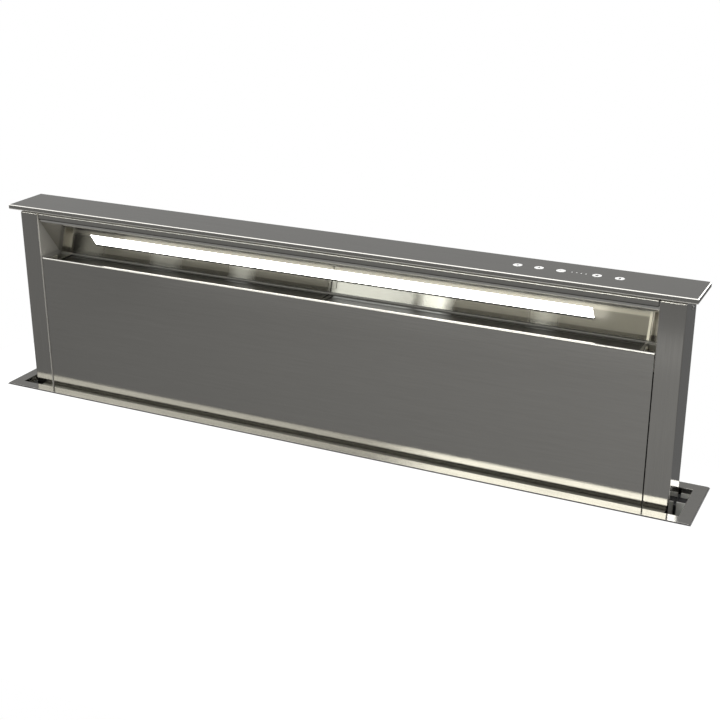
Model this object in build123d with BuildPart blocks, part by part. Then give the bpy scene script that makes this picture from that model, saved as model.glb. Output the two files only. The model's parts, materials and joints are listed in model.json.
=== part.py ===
from build123d import *
from math import acos, cos, exp, log, pi, radians, sin, sqrt, tan
import os

os.makedirs("parts", exist_ok=True)

# A worktop downdraft vent, in millimetres.  +X runs along the vent, +Y points to its back and +Z up.
# The origin is at the centre of the worktop flange's underside, so z = 0 is the worktop's surface.
# At rest the riser stands fully raised.

# ---- Driving dimensions ----
cap_length = 1155.0  # touch cap, along X
cap_depth = 84.0  # touch cap, along Y
cap_t = 7.25  # height of the cap's edge
cap_skin = 1.5
cap_bevel = 1.0
rise = 320.0  # cap top above the flange when raised, which is also the lift's travel
cap_gap_x = 2.5  # cap to flange opening, each end
cap_gap_y = 3.0  # cap to flange opening, front and back
side_gap = 18.3  # riser to flange opening, each end: room for the guide rails
front_gap = 12.0  # riser to flange opening, front and back
flange_border_x = 20.0
flange_border_y = 19.2
flange_t = 1.5
flange_corner = 2.0
flange_lip = 10.0  # turned down round the opening
seal_drop = 7.0  # opening's seals below the worktop's surface, clear of the lowered cap
seal_t = 1.5
seal_play = 0.6

post_width = 36.7
post_t = 1.2
post_bend = 2.0
post_edge = 1.0  # rounding of a post's inner front edge
shadow_gap = 4.6  # between the cap and the riser's top
header_height = 10.35
intake_height = 65.8
sheet_t = 1.2
face_seam = 1.4  # between the fascia or header and the post beside it
seam = 0.5  # and between an inner panel and the post
riser_tail = 110.0  # how far the raised riser still reaches below the worktop
sump = 210.0  # casing below the lowered riser

deflector_drop = 3.7  # and below the header
slot_depth = 48.6  # front plane to the deflector's foot
foot_drop = 2.7  # deflector's foot below the fascia's top edge
fascia_bend = 3.0
hem_drop = 10.0

lamp_length = 859.0
lamp_width = 28.0  # the deflector's slot for the lamp, along the slope
lamp_gap = 3.8  # of it left open below the diffuser
lamp_down = 17.6  # deflector's upper edge to the slot's upper edge, along the slope
lamp_t = 3.0
lamp_housing_depth = 16.0
housing_t = 1.5
lamp_play = 0.3

filter_t = 12.0
filter_gap = 2.0  # between the two cassettes, at the middle
filter_play = 0.4  # between a cassette and its stops
well_length = 21.7  # finger well between a cassette and the post
filter_below = 4.5  # cassette's top below the fascia's top edge
filter_rim = 7.0
ledge_width = 6.0
well_depth = 24.0

touch_x = (310.4, 459.6)  # centres of the first and last touch fields printed on the cap
touch_y = 1.5
touch_field = 13.5  # one field's diameter

casing_t = 1.2
rail_depth_y = 32.0
rail_t = 1.5
rail_reach = 16.0
rail_top_drop = 9.0  # guide rail's top below the flange's top face, clear of the lowered cap
glide_play = 0.4

gear_module = 2.0
pinion_teeth = 16
pressure_angle = 20.0
gear_backlash = 0.16
rack_backing = 3.5
rack_width = 12.0
pinion_width = 10.0
shaft_radius = 5.0
shaft_height = 18.0  # lift shaft above the riser's lower end
running_play = 0.05

blower_length = 380.0
blower_height = 340.0
blower_depth = 210.0
blower_t = 1.2
blower_lift = 10.0  # blower box above the casing's bottom
duct_radius = 75.0
duct_length = 82.0
duct_t = 1.5
inlet_radius = 85.0
wheel_radius = 90.0
wheel_width = 90.0
blade_count = 24
blade_t = 1.0
scroll_start = 98.0  # spiral's radius at the tongue
scroll_end = 155.0  # and under the axis, where the outlet begins
scroll_width = 120.0
scroll_wall = 2.0
flap_t = 1.5
flap_play = 1.5
flap_pin = 2.0

# ---- Worked out from them ----
opening_length = cap_length + 2 * cap_gap_x
opening_depth = cap_depth + 2 * cap_gap_y
flange_length = opening_length + 2 * flange_border_x
flange_depth = opening_depth + 2 * flange_border_y
riser_half = opening_length / 2 - side_gap
front = -(opening_depth / 2 - front_gap)
back = -front
post_inner = riser_half - post_width
panel_half = post_inner - seam
face_half = post_inner - face_seam

cap_top = flange_t + rise
cap_bottom = cap_top - cap_t
riser_top = cap_bottom - shadow_gap
header_bottom = riser_top - header_height
fascia_top = header_bottom - intake_height
riser_bottom = -riser_tail
casing_bottom = riser_bottom - rise - sump

hem_depth = fascia_bend + sheet_t + 0.3  # the fascia's top edge is folded back and down by this much
deflector_inset = 2 * sheet_t + 0.7  # deflector's upper edge behind the front plane, clear of the header's lip
slope_top_y = front + deflector_inset
slope_top_z = header_bottom - deflector_drop
slope_foot_y = front + slot_depth
slope_foot_z = fascia_top - foot_drop
slope_length = sqrt((slope_foot_y - slope_top_y) ** 2 + (slope_top_z - slope_foot_z) ** 2)
slope_down_y = (slope_foot_y - slope_top_y) / slope_length
slope_down_z = (slope_foot_z - slope_top_z) / slope_length
# The slope's own plane: x along the vent, y up the slope, z out of it, forwards and down.
slope = Plane(
    origin=(0, slope_top_y, slope_top_z),
    x_dir=(1, 0, 0),
    z_dir=(0, slope_down_z, -slope_down_y),
)
lamp_mid = -(lamp_down + lamp_width / 2)

filter_top = fascia_top - filter_below
filter_bottom = filter_top - filter_t
# A cassette tilts up about its back top edge, so its front lower edge keeps clear of the fascia's hem.
hem_back = front + hem_depth
filter_back = slope_foot_y - filter_play
filter_swing = filter_back - hem_back - filter_play
filter_front = filter_back - sqrt(filter_swing**2 - filter_t**2)
filter_outer = post_inner - well_length
filter_inner = filter_gap / 2

casing_x = opening_length / 2
casing_y = opening_depth / 2
shaft_z = riser_bottom + shaft_height
rail_front = casing_y - rail_depth_y
rail_top = flange_t - rail_top_drop
rail_bottom = riser_bottom - rise - 20.0
pitch_radius = gear_module * pinion_teeth / 2
tooth_pitch = pi * gear_module
rack_tip_y = rail_front - rack_backing - 2.25 * gear_module
rack_pitch_y = rack_tip_y + gear_module
shaft_y = rack_pitch_y - pitch_radius
gap_x = (riser_half + casing_x) / 2

blower_front = -(casing_y + casing_t + blower_depth)
blower_bottom = casing_bottom + blower_lift
blower_top = blower_bottom + blower_height
wheel_x = -25.0
wheel_z = blower_bottom + 190.0
scroll_back = -(casing_y + casing_t) - 30.0
scroll_front = scroll_back - scroll_width
duct_y = (scroll_back + scroll_front) / 2
duct_z = wheel_z - 100.0
duct_start = blower_length / 2
wheel_back = scroll_back - 18.0
wheel_front = wheel_back - wheel_width
flap_x = duct_start + 6.0


# ---- Helpers ----
def slab(x, y, z, mode=Mode.ADD):
    """Adds the box between two values on each axis to the part being built."""
    with Locations(((x[0] + x[1]) / 2, (y[0] + y[1]) / 2, (z[0] + z[1]) / 2)):
        Box(x[1] - x[0], y[1] - y[0], z[1] - z[0], mode=mode)


def folded_sheet(path, bend, thickness, half_length, side=Side.RIGHT):
    """Makes a sheet folded along X, whose section follows a path of (y, z) points."""
    with BuildPart() as sheet:
        with BuildSketch(Plane.YZ):
            with BuildLine():
                FilletPolyline(*path, radius=bend)
                offset(amount=thickness, side=side)
            make_face()
        extrude(amount=half_length, both=True)
    return sheet.part


def save(part, name):
    """Labels a finished piece and writes it to its own file."""
    part.label = name
    export_step(part, f"parts/{name}.step")


def outer_mirror(part):
    """Gives the same piece for the vent's left end."""
    return mirror(part, about=Plane.YZ, mode=Mode.PRIVATE)


wall_x = casing_x + casing_t
wall_y = casing_y + casing_t

# ---- Worktop flange: a flat frame with a lip turned down round its opening ----
with BuildPart() as worktop_flange:
    with BuildSketch():
        RectangleRounded(flange_length, flange_depth, flange_corner)
        Rectangle(opening_length, opening_depth, mode=Mode.SUBTRACT)
    extrude(amount=flange_t)
    chamfer(worktop_flange.edges().group_by(Axis.Z)[-1], 0.3)
    with BuildSketch():
        Rectangle(2 * wall_x, 2 * wall_y)
        Rectangle(opening_length, opening_depth, mode=Mode.SUBTRACT)
    extrude(amount=-flange_lip)
save(worktop_flange.part, "worktop_flange")

# Two wiper strips on the lip's long sides keep crumbs out of the casing.
seal_half = riser_half - 6.0
with BuildPart() as opening_seals:
    slab((-seal_half, seal_half), (-casing_y, front - seal_play), (-seal_drop - seal_t, -seal_drop))
    slab((-seal_half, seal_half), (back + seal_play, casing_y), (-seal_drop - seal_t, -seal_drop))
save(opening_seals.part, "opening_seals")

# ---- Casing: four walls and a bottom, welded under the flange's lip ----
hem = 12.0

with BuildPart() as casing_front:
    slab((-casing_x, casing_x), (-wall_y, -casing_y), (casing_bottom + casing_t, -flange_lip))
    with BuildSketch(Plane.XZ.offset(casing_y)):
        with Locations((wheel_x, wheel_z)):
            Circle(inlet_radius + 3.0)
    extrude(amount=2 * casing_t, both=True, mode=Mode.SUBTRACT)
save(casing_front.part, "casing_front")

rib_count = 5
rib_width = 14.0
rib_height = 3.0
with BuildPart() as casing_rear:
    slab((-casing_x, casing_x), (casing_y, wall_y), (casing_bottom + casing_t, -flange_lip))
    # Pressed stiffening ribs that stand out of the back wall.
    with BuildSketch(Plane.XZ.offset(-wall_y)):
        with Locations((0, casing_bottom / 2)):
            with GridLocations(casing_x * 2 / rib_count, 0, rib_count, 1):
                Rectangle(rib_width, -casing_bottom * 0.7)
    extrude(amount=-rib_height, taper=30)
save(casing_rear.part, "casing_rear")

with BuildPart() as casing_right:
    slab((casing_x, wall_x), (-wall_y, wall_y), (casing_bottom, -flange_lip))
save(casing_right.part, "casing_right")
save(outer_mirror(casing_right.part), "casing_left")

with BuildPart() as casing_floor:
    slab((-casing_x, casing_x), (-wall_y, wall_y), (casing_bottom, casing_bottom + casing_t))
save(casing_floor.part, "casing_floor")

# ---- Fixing brackets round the casing ----
clamp_x = 400.0
clamp_z = -62.0
clamp_reach = 20.0
clamp_width = 30.0
clamp_t = 2.0
clamp_rise = 26.0
clamp_screw = 2.5
clamp_pad_z = -34.0
with BuildPart() as clamp_bracket:
    slab((-clamp_width / 2, clamp_width / 2), (wall_y, wall_y + clamp_t), (clamp_z - clamp_rise, clamp_z))
    slab((-clamp_width / 2, clamp_width / 2), (wall_y, wall_y + clamp_reach), (clamp_z - clamp_t, clamp_z))
    slab(
        (-clamp_screw, clamp_screw),
        (wall_y + clamp_reach / 2 - clamp_screw, wall_y + clamp_reach + 1),
        (clamp_z - clamp_t, clamp_z),
        mode=Mode.SUBTRACT,
    )
with BuildPart() as clamp_screw_one:
    with BuildSketch(Plane.XY.offset(clamp_z - clamp_t - 4.0)):
        with Locations((0, wall_y + clamp_reach / 2)):
            RegularPolygon(2 * clamp_screw, 6)
    extrude(amount=4.0)
    with Locations((0, wall_y + clamp_reach / 2, clamp_z - clamp_t - 4.0)):
        Cylinder(clamp_screw, clamp_pad_z - clamp_z + clamp_t + 4.0, align=(Align.CENTER, Align.CENTER, Align.MIN))
    with BuildSketch(Plane.XY.offset(clamp_pad_z)):
        with Locations((0, wall_y + clamp_reach / 2)):
            RegularPolygon(3.4 * clamp_screw, 8)
    extrude(amount=4.0)
with BuildPart() as worktop_clamps:
    for turn in (0, 180):
        for x in (-clamp_x, clamp_x):
            add(clamp_bracket.part.rotate(Axis.Z, turn).translate((x, 0, 0)))
save(worktop_clamps.part, "worktop_clamps")
with BuildPart() as clamp_screws:
    for turn in (0, 180):
        for x in (-clamp_x, clamp_x):
            add(clamp_screw_one.part.rotate(Axis.Z, turn).translate((x, 0, 0)))
save(clamp_screws.part, "clamp_screws")

foot_x = 500.0
foot_reach = 26.0
foot_width = 44.0
foot_t = 2.5
foot_rise = 50.0
foot_hole = 3.25
foot_hole_y = wall_y + foot_reach / 2 + 2.0
with BuildPart() as foot:
    slab((-foot_width / 2, foot_width / 2), (wall_y, wall_y + foot_t), (casing_bottom, casing_bottom + foot_rise))
    slab((-foot_width / 2, foot_width / 2), (wall_y, wall_y + foot_reach), (casing_bottom, casing_bottom + foot_t))
    chamfer(foot.edges().filter_by(Axis.Z).group_by(Axis.Y)[-1], 5.0)
    with Locations((0, foot_hole_y, casing_bottom)):
        Cylinder(foot_hole, 4 * foot_t, mode=Mode.SUBTRACT)
with BuildPart() as cabinet_feet:
    for turn in (0, 180):
        for x in (-foot_x, foot_x):
            add(foot.part.rotate(Axis.Z, turn).translate((x, 0, 0)))
save(cabinet_feet.part, "cabinet_feet")

# ---- Guide rails and racks, in the gaps at the casing's two ends ----
with BuildPart() as guide_rail:
    slab((casing_x - rail_reach, casing_x), (rail_front, casing_y), (rail_bottom, rail_top))
    slab(
        (casing_x - rail_reach, casing_x - rail_t),
        (rail_front + rail_t, casing_y - rail_t),
        (rail_bottom, rail_top),
        mode=Mode.SUBTRACT,
    )
save(guide_rail.part, "guide_rail_right")
save(outer_mirror(guide_rail.part), "guide_rail_left")

rack_above = 3
rack_below = int(rise / tooth_pitch) + 4
flank = tan(radians(pressure_angle))


def rack_outline():
    """Gives the rack's section as (y, z) points: a backing strip with a row of straight-flanked teeth."""
    root_y = rack_tip_y + 2.25 * gear_module
    tip_half = tooth_pitch / 4 - gear_backlash / 4 - gear_module * flank
    root_half = tip_half + 2.25 * gear_module * flank
    first = shaft_z - rack_below * tooth_pitch
    points = [(rail_front, first - tooth_pitch / 2), (root_y, first - tooth_pitch / 2)]
    for tooth in range(rack_below + rack_above + 1):
        z = first + tooth * tooth_pitch
        points.append((root_y, z - root_half))
        points.append((rack_tip_y, z - tip_half))
        points.append((rack_tip_y, z + tip_half))
        points.append((root_y, z + root_half))
    last = first + (rack_below + rack_above) * tooth_pitch + tooth_pitch / 2
    points.append((root_y, last))
    points.append((rail_front, last))
    return points


with BuildPart() as rack:
    with BuildSketch(Plane.YZ.offset(gap_x - rack_width / 2)):
        with BuildLine():
            Polyline(*rack_outline(), close=True)
        make_face()
    extrude(amount=rack_width)
save(rack.part, "rack_right")
save(outer_mirror(rack.part), "rack_left")

# ---- Lift shaft and its two pinions ----
def involute(angle):
    """Gives the involute function of an angle in radians."""
    return tan(angle) - angle


def tooth_half_angle(radius):
    """Gives half the angle that a pinion tooth fills at a radius."""
    base = pitch_radius * cos(radians(pressure_angle))
    at_pitch = pi / 2 / pinion_teeth - gear_backlash / 4 / pitch_radius
    slant = acos(min(1.0, base / radius))
    return at_pitch + involute(radians(pressure_angle)) - involute(slant)


def polar(radius, angle):
    """Gives the point at a radius and an angle in radians."""
    return (radius * cos(angle), radius * sin(angle))


with BuildSketch() as pinion_tooth:
    tip_radius = pitch_radius + gear_module
    root_radius = pitch_radius - 1.25 * gear_module
    base_radius = pitch_radius * cos(radians(pressure_angle))
    steps = (base_radius, pitch_radius, tip_radius)
    root_point = polar(root_radius - 0.5, tooth_half_angle(base_radius))
    with BuildLine():
        upper = [polar(r, tooth_half_angle(r)) for r in steps]
        lower = [polar(r, -tooth_half_angle(r)) for r in reversed(steps)]
        Polyline(root_point, *upper, *lower, (root_point[0], -root_point[1]), close=True)
    make_face()

# A gap between two teeth points at the rack, where the rack has a tooth at the shaft's own height.
pinion_plane = Plane((gap_x - pinion_width / 2, shaft_y, shaft_z), x_dir=(0, 1, 0), z_dir=(1, 0, 0))
with BuildPart() as pinion:
    with BuildSketch(pinion_plane):
        Circle(root_radius)
        with PolarLocations(0, pinion_teeth, start_angle=180 / pinion_teeth):
            add(pinion_tooth.sketch)
        Circle(shaft_radius, mode=Mode.SUBTRACT)
    extrude(amount=pinion_width)
save(pinion.part, "pinion_right")
save(outer_mirror(pinion.part), "pinion_left")

shaft_half = gap_x + pinion_width / 2
with BuildPart() as lift_shaft:
    with BuildSketch(Plane.YZ):
        with Locations((shaft_y, shaft_z)):
            Circle(shaft_radius)
    extrude(amount=shaft_half, both=True)
save(lift_shaft.part, "lift_shaft")

# ---- Riser: corner posts ----
bush_radius = 9.0
with BuildPart() as post:
    slab((post_inner, riser_half), (front, back), (riser_bottom, riser_top))
    fillet(post.edges().filter_by(Axis.Z).group_by(Axis.X)[-1], post_bend)
    fillet(post.edges().filter_by(Axis.Z).group_by(Axis.X)[0].sort_by(Axis.Y)[0], post_edge)
    fillet(post.faces().sort_by(Axis.Z)[-1].edges().filter_by(Axis.X).sort_by(Axis.Y)[0], post_bend)
    slab(
        (post_inner + post_t, riser_half - post_t),
        (front + post_t, back - post_t),
        (riser_bottom, riser_top - post_t),
        mode=Mode.SUBTRACT,
    )
    with BuildSketch(Plane.YZ.offset(riser_half - 2 * post_t)):
        with Locations((shaft_y, shaft_z)):
            Circle(bush_radius)
    extrude(amount=3 * post_t, mode=Mode.SUBTRACT)
    slab(
        (post_inner - 1, post_inner + 2 * post_t),
        (shaft_y - bush_radius, shaft_y + bush_radius),
        (shaft_z - bush_radius, shaft_z + bush_radius),
        mode=Mode.SUBTRACT,
    )
save(post.part, "post_right")
save(outer_mirror(post.part), "post_left")

bush_length = 6.0
with BuildPart() as bush:
    with BuildSketch(Plane.YZ.offset(riser_half - bush_length)):
        with Locations((shaft_y, shaft_z)):
            Circle(bush_radius)
            Circle(shaft_radius + running_play, mode=Mode.SUBTRACT)
    extrude(amount=bush_length)
with BuildPart() as shaft_bushes:
    add(bush.part)
    add(outer_mirror(bush.part))
save(shaft_bushes.part, "shaft_bushes")

# ---- Glide blocks on the posts, running in the guide rails ----
glide_height = 36.0
glide_y = (rail_front + casing_y) / 2
glide_half_y = rail_depth_y / 2 - rail_t - glide_play
glide_z = (riser_bottom + 2.0, riser_bottom + 2.0 + glide_height + 22.0)
with BuildPart() as glide:
    with BuildSketch(Plane.YZ.offset(riser_half)):
        with Locations(*[(glide_y, z + glide_height / 2) for z in glide_z]):
            Rectangle(2 * glide_half_y, glide_height)
    extrude(amount=casing_x - rail_t - glide_play - riser_half)
    chamfer(glide.faces().sort_by(Axis.X)[-1].edges().filter_by(Axis.Y), 2.0)
    chamfer(glide.faces().sort_by(Axis.X)[-2].edges().filter_by(Axis.Y), 2.0)
with BuildPart() as glide_blocks:
    add(glide.part)
    add(outer_mirror(glide.part))
save(glide_blocks.part, "glide_blocks")

# ---- Riser: fascia, back and cross rails ----
fascia_bottom = riser_bottom + 2.0
fascia = folded_sheet(
    [
        (front, fascia_bottom),
        (front, fascia_top),
        (front + hem_depth, fascia_top),
        (front + hem_depth, fascia_top - hem_drop),
    ],
    [fascia_bend, sheet_t + 0.2],
    sheet_t,
    face_half,
)
save(fascia, "fascia_panel")

with BuildPart() as back_panel:
    slab((-panel_half, panel_half), (back - sheet_t, back), (fascia_bottom, riser_top - sheet_t))
save(back_panel.part, "back_panel")

header = folded_sheet(
    [
        (slope_top_y - sheet_t - 0.3, header_bottom),
        (front, header_bottom),
        (front, riser_top),
        (back, riser_top),
    ],
    [sheet_t + 0.2, post_bend],
    sheet_t,
    face_half,
)
touch_length = touch_x[1] - touch_x[0] + 3 * touch_field
touch_depth = 2.5 * touch_field
touch_mid = sum(touch_x) / 2
with BuildPart() as header_rail:
    add(header)
    slab(
        (touch_mid - touch_length / 2 - 1, touch_mid + touch_length / 2 + 1),
        (touch_y - touch_depth / 2 - 1, touch_y + touch_depth / 2 + 1),
        (riser_top - 2 * sheet_t, riser_top + 1),
        mode=Mode.SUBTRACT,
    )
save(header_rail.part, "header_rail")

cross_height = 26.0
cross_depth = 16.0
cross_t = 1.5


def cross_rail(y_wall, inward, base):
    """Makes a channel that ties the two posts, low in the riser; inward is +1 or -1 along Y."""
    y_lip = y_wall + inward * cross_depth
    return folded_sheet(
        [(y_lip, base), (y_wall, base), (y_wall, base + cross_height), (y_lip, base + cross_height)],
        cross_t + 0.3,
        cross_t,
        panel_half,
        side=Side.RIGHT if inward > 0 else Side.LEFT,
    )


save(cross_rail(back - sheet_t, -1, fascia_bottom), "cross_rail_rear")
save(cross_rail(front + sheet_t, 1, fascia_bottom + 48.0), "cross_rail_front")

# ---- Deflector: the polished sloping panel that holds the lamp ----
ledge_z = filter_bottom - sheet_t
deflector = folded_sheet(
    [
        (slope_top_y, riser_top - sheet_t - 1.0),
        (slope_top_y, slope_top_z),
        (slope_foot_y, slope_foot_z),
        (slope_foot_y, filter_bottom),
        (filter_back - ledge_width, filter_bottom),
    ],
    [sheet_t + 0.3, 1.0, filter_play],
    sheet_t,
    panel_half,
    side=Side.LEFT,
)
with BuildPart() as deflector_panel:
    add(deflector)
    with BuildSketch(slope):
        with Locations((0, lamp_mid)):
            Rectangle(lamp_length, lamp_width)
    extrude(amount=3.0, both=True, mode=Mode.SUBTRACT)
    # The ledge stops at the cassettes' ends, where the finger wells hang.
    for x in ((-panel_half - 1, -filter_outer), (filter_outer, panel_half + 1)):
        slab(x, (filter_front, slope_foot_y), (ledge_z - 1, filter_top), mode=Mode.SUBTRACT)
save(deflector_panel.part, "deflector_panel")

housing_half = lamp_length / 2 + 6.0
housing_width = lamp_width + 12.0
with BuildPart() as lamp_housing:
    with BuildSketch(slope.offset(-sheet_t)):
        with Locations((0, lamp_mid)):
            Rectangle(2 * housing_half, housing_width)
    extrude(amount=-lamp_housing_depth)
    with BuildSketch(slope.offset(-sheet_t)):
        with Locations((0, lamp_mid)):
            Rectangle(lamp_length + 2 * lamp_play, lamp_width + 2 * lamp_play)
    extrude(amount=-(lamp_housing_depth - housing_t), mode=Mode.SUBTRACT)
save(lamp_housing.part, "lamp_housing")

with BuildPart() as lamp_diffuser:
    with BuildSketch(slope):
        with Locations((0, lamp_mid + (lamp_gap - lamp_play) / 2)):
            Rectangle(lamp_length - 2 * lamp_play, lamp_width - lamp_gap - lamp_play)
    extrude(amount=-lamp_t)
save(lamp_diffuser.part, "lamp_diffuser")

led_board = 12.0
with BuildPart() as led_strip:
    with BuildSketch(slope.offset(-(sheet_t + lamp_housing_depth - housing_t))):
        with Locations((0, lamp_mid)):
            Rectangle(lamp_length - 10.0, led_board)
    extrude(amount=1.6)
save(led_strip.part, "led_strip")

# ---- Grease filters: two cassettes lying in the slot, with a finger well at each end ----
with BuildPart() as filter_frame:
    slab((filter_inner, filter_outer), (filter_front, filter_back), (filter_bottom, filter_top))
    slab(
        (filter_inner + filter_rim, filter_outer - filter_rim),
        (filter_front + filter_rim, filter_back - filter_rim),
        (filter_bottom, filter_top),
        mode=Mode.SUBTRACT,
    )
    slab(
        (filter_inner + sheet_t, filter_outer - sheet_t),
        (filter_front + sheet_t, filter_back - sheet_t),
        (filter_bottom + sheet_t, filter_top - sheet_t),
        mode=Mode.SUBTRACT,
    )
save(filter_frame.part, "filter_frame_right")
save(outer_mirror(filter_frame.part), "filter_frame_left")

with BuildPart() as filter_mesh:
    slab(
        (filter_inner + sheet_t, filter_outer - sheet_t),
        (filter_front + sheet_t, filter_back - sheet_t),
        (filter_bottom + sheet_t, filter_top - sheet_t),
    )
save(filter_mesh.part, "filter_mesh_right")
save(outer_mirror(filter_mesh.part), "filter_mesh_left")

# The front ledge is a Z on the back of the fascia; the deflector's foot is the rear one.
inside_front = front + sheet_t
front_ledge = folded_sheet(
    [
        (inside_front, ledge_z - 14.0),
        (inside_front, filter_bottom),
        (filter_front + ledge_width, filter_bottom),
    ],
    sheet_t + 0.2,
    sheet_t,
    filter_outer,
)
save(front_ledge, "filter_ledge")

well_floor = filter_top - well_depth
with BuildPart() as finger_well:
    slab((filter_outer + filter_play, panel_half), (hem_back, slope_foot_y), (well_floor, filter_top - 2.0))
    slab(
        (filter_outer + filter_play + sheet_t, panel_half - sheet_t),
        (hem_back + sheet_t, slope_foot_y - sheet_t),
        (well_floor + sheet_t, filter_top),
        mode=Mode.SUBTRACT,
    )
with BuildPart() as finger_wells:
    add(finger_well.part)
    add(outer_mirror(finger_well.part))
save(finger_wells.part, "finger_wells")

# ---- Cap, its gasket and the touch controls ----
cap_inside = cap_top - cap_skin - cap_bevel / 2
with BuildPart() as cap_plate:
    slab((-cap_length / 2, cap_length / 2), (-cap_depth / 2, cap_depth / 2), (cap_bottom, cap_top))
    chamfer(cap_plate.faces().sort_by(Axis.Z)[-1].edges(), cap_bevel)
    slab(
        (-cap_length / 2 + cap_skin, cap_length / 2 - cap_skin),
        (-cap_depth / 2 + cap_skin, cap_depth / 2 - cap_skin),
        (cap_bottom, cap_inside),
        mode=Mode.SUBTRACT,
    )
save(cap_plate.part, "cap_plate")

touch_drop = 10.0
with BuildPart() as touch_module:
    slab(
        (touch_mid - touch_length / 2, touch_mid + touch_length / 2),
        (touch_y - touch_depth / 2, touch_y + touch_depth / 2),
        (cap_inside - touch_drop, cap_inside),
    )
    chamfer(touch_module.edges().filter_by(Axis.Z), 2.0)
save(touch_module.part, "touch_module")

gasket_width = 8.0
gasket_inset = 6.0
with BuildPart() as cap_gasket:
    slab(
        (-riser_half + gasket_inset, riser_half - gasket_inset),
        (front + gasket_inset, back - gasket_inset),
        (riser_top, cap_inside),
    )
    slab(
        (-riser_half + gasket_inset + gasket_width, riser_half - gasket_inset - gasket_width),
        (front + gasket_inset + gasket_width, back - gasket_inset - gasket_width),
        (riser_top, cap_inside),
        mode=Mode.SUBTRACT,
    )
save(cap_gasket.part, "cap_gasket")

# ---- Lift gearmotor on the riser's rear cross rail ----
gearbox_x = -470.0
gearbox_width = 34.0
gearbox_back = back - sheet_t - cross_depth
can_radius = 16.0
can_length = 72.0
can_y = front + sheet_t + cross_depth + can_radius + 0.8
with BuildPart() as lift_gearmotor:
    slab(
        (gearbox_x - gearbox_width / 2, gearbox_x + gearbox_width / 2),
        (shaft_y - shaft_radius - 9.0, gearbox_back),
        (shaft_z - 14.0, shaft_z + 22.0),
    )
    chamfer(lift_gearmotor.edges().filter_by(Axis.X), 4.0)
    with BuildSketch(Plane.YZ.offset(gearbox_x - gearbox_width)):
        with Locations((shaft_y, shaft_z)):
            Circle(shaft_radius + running_play)
    extrude(amount=2 * gearbox_width, mode=Mode.SUBTRACT)
    with Locations((gearbox_x, can_y, shaft_z + 22.0)):
        Cylinder(can_radius, can_length, align=(Align.CENTER, Align.CENTER, Align.MIN))
save(lift_gearmotor.part, "lift_gearmotor")

# ---- Limit switches on the casing, and the cam on the right post that trips them ----
switch_height = 20.0
switch_lever = 3.0
switch_z = (-26.0, -26.0 - rise)
cam_t = 3.0
cam_y = front + post_bend
with BuildPart() as limit_switches:
    for z in switch_z:
        slab((casing_x - 9.0, casing_x), (-casing_y, cam_y + cam_t / 2), (z - switch_height, z))
        slab(
            (casing_x - 9.0 - switch_lever, casing_x - 9.0),
            (cam_y - cam_t, cam_y + cam_t / 2),
            (z - 14.0, z - 8.0),
        )
save(limit_switches.part, "limit_switches")

with BuildPart() as trip_cam:
    slab(
        (riser_half, casing_x - 9.0 - switch_lever - 0.3),
        (cam_y, cam_y + cam_t),
        (switch_z[0] - 15.0, switch_z[0] - 5.0),
    )
    chamfer(trip_cam.faces().sort_by(Axis.X)[-1].edges().filter_by(Axis.Y), 2.0)
save(trip_cam.part, "trip_cam")

# ---- Blower box on the front wall of the casing ----
box_left = -blower_length / 2
box_right = blower_length / 2
box_back = -wall_y
with BuildPart() as blower_box:
    slab((box_left, box_right), (blower_front, box_back), (blower_bottom, blower_top))
    fillet(blower_box.edges().filter_by(Axis.Y), 3.0)
    slab(
        (box_left + blower_t, box_right - blower_t),
        (blower_front, box_back),
        (blower_bottom + blower_t, blower_top - blower_t),
        mode=Mode.SUBTRACT,
    )
    # Flange that bolts to the casing.
    with BuildSketch(Plane.XZ.offset(-box_back)):
        with Locations((0, (blower_bottom + blower_top) / 2)):
            Rectangle(blower_length + 2 * hem, blower_height + 2 * hem - 4.0)
            Rectangle(blower_length - 2 * blower_t, blower_height - 2 * blower_t, mode=Mode.SUBTRACT)
    extrude(amount=blower_t)
    with BuildSketch(Plane.YZ.offset(box_right - 2 * blower_t)):
        with Locations((duct_y, duct_z)):
            Circle(duct_radius - duct_t)
    extrude(amount=3 * blower_t, mode=Mode.SUBTRACT)
save(blower_box.part, "blower_box")

cover_lip = 10.0
with BuildPart() as blower_cover:
    with BuildSketch(Plane.XZ.offset(-blower_front)):
        with Locations((0, (blower_bottom + blower_top) / 2)):
            RectangleRounded(blower_length, blower_height, 3.0)
    extrude(amount=blower_t)
    with BuildSketch(Plane.XZ.offset(-blower_front)):
        with Locations((0, (blower_bottom + blower_top) / 2)):
            Rectangle(blower_length - 2 * blower_t - 0.6, blower_height - 2 * blower_t - 0.6)
            Rectangle(blower_length - 4 * blower_t - 0.6, blower_height - 4 * blower_t - 0.6, mode=Mode.SUBTRACT)
    extrude(amount=-cover_lip)
save(blower_cover.part, "blower_cover")


# ---- Blower scroll ----
tongue_angle = radians(-40.0)
outlet_angle = radians(270.0)
growth = log(scroll_end / scroll_start) / (outlet_angle - tongue_angle)
throat_reach = 100.0
throat_top = scroll_start * sin(tongue_angle)
spiral_steps = 8  # two to each arc of the spiral wall


def spiral_point(step, inset):
    """Gives a point of the scroll's spiral wall, counted from the tongue, moved inwards by inset."""
    angle = tongue_angle + (outlet_angle - tongue_angle) * step / spiral_steps
    return polar(scroll_start * exp(growth * (angle - tongue_angle)) - inset, angle)


def scroll_face(plane, inset):
    """Draws the scroll's section, spiral and outlet throat together, with its wall moved inwards by inset."""
    with BuildSketch(plane) as face:
        with BuildLine():
            for step in range(0, spiral_steps, 2):
                ThreePointArc(*[spiral_point(step + part, inset) for part in range(3)])
            Line(spiral_point(spiral_steps, inset), spiral_point(0, inset))
        make_face()
        throat_height = throat_top + scroll_end - 2 * inset
        with Locations((throat_reach / 2, -scroll_end + inset + throat_height / 2)):
            Rectangle(throat_reach, throat_height)
    return face.sketch


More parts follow.
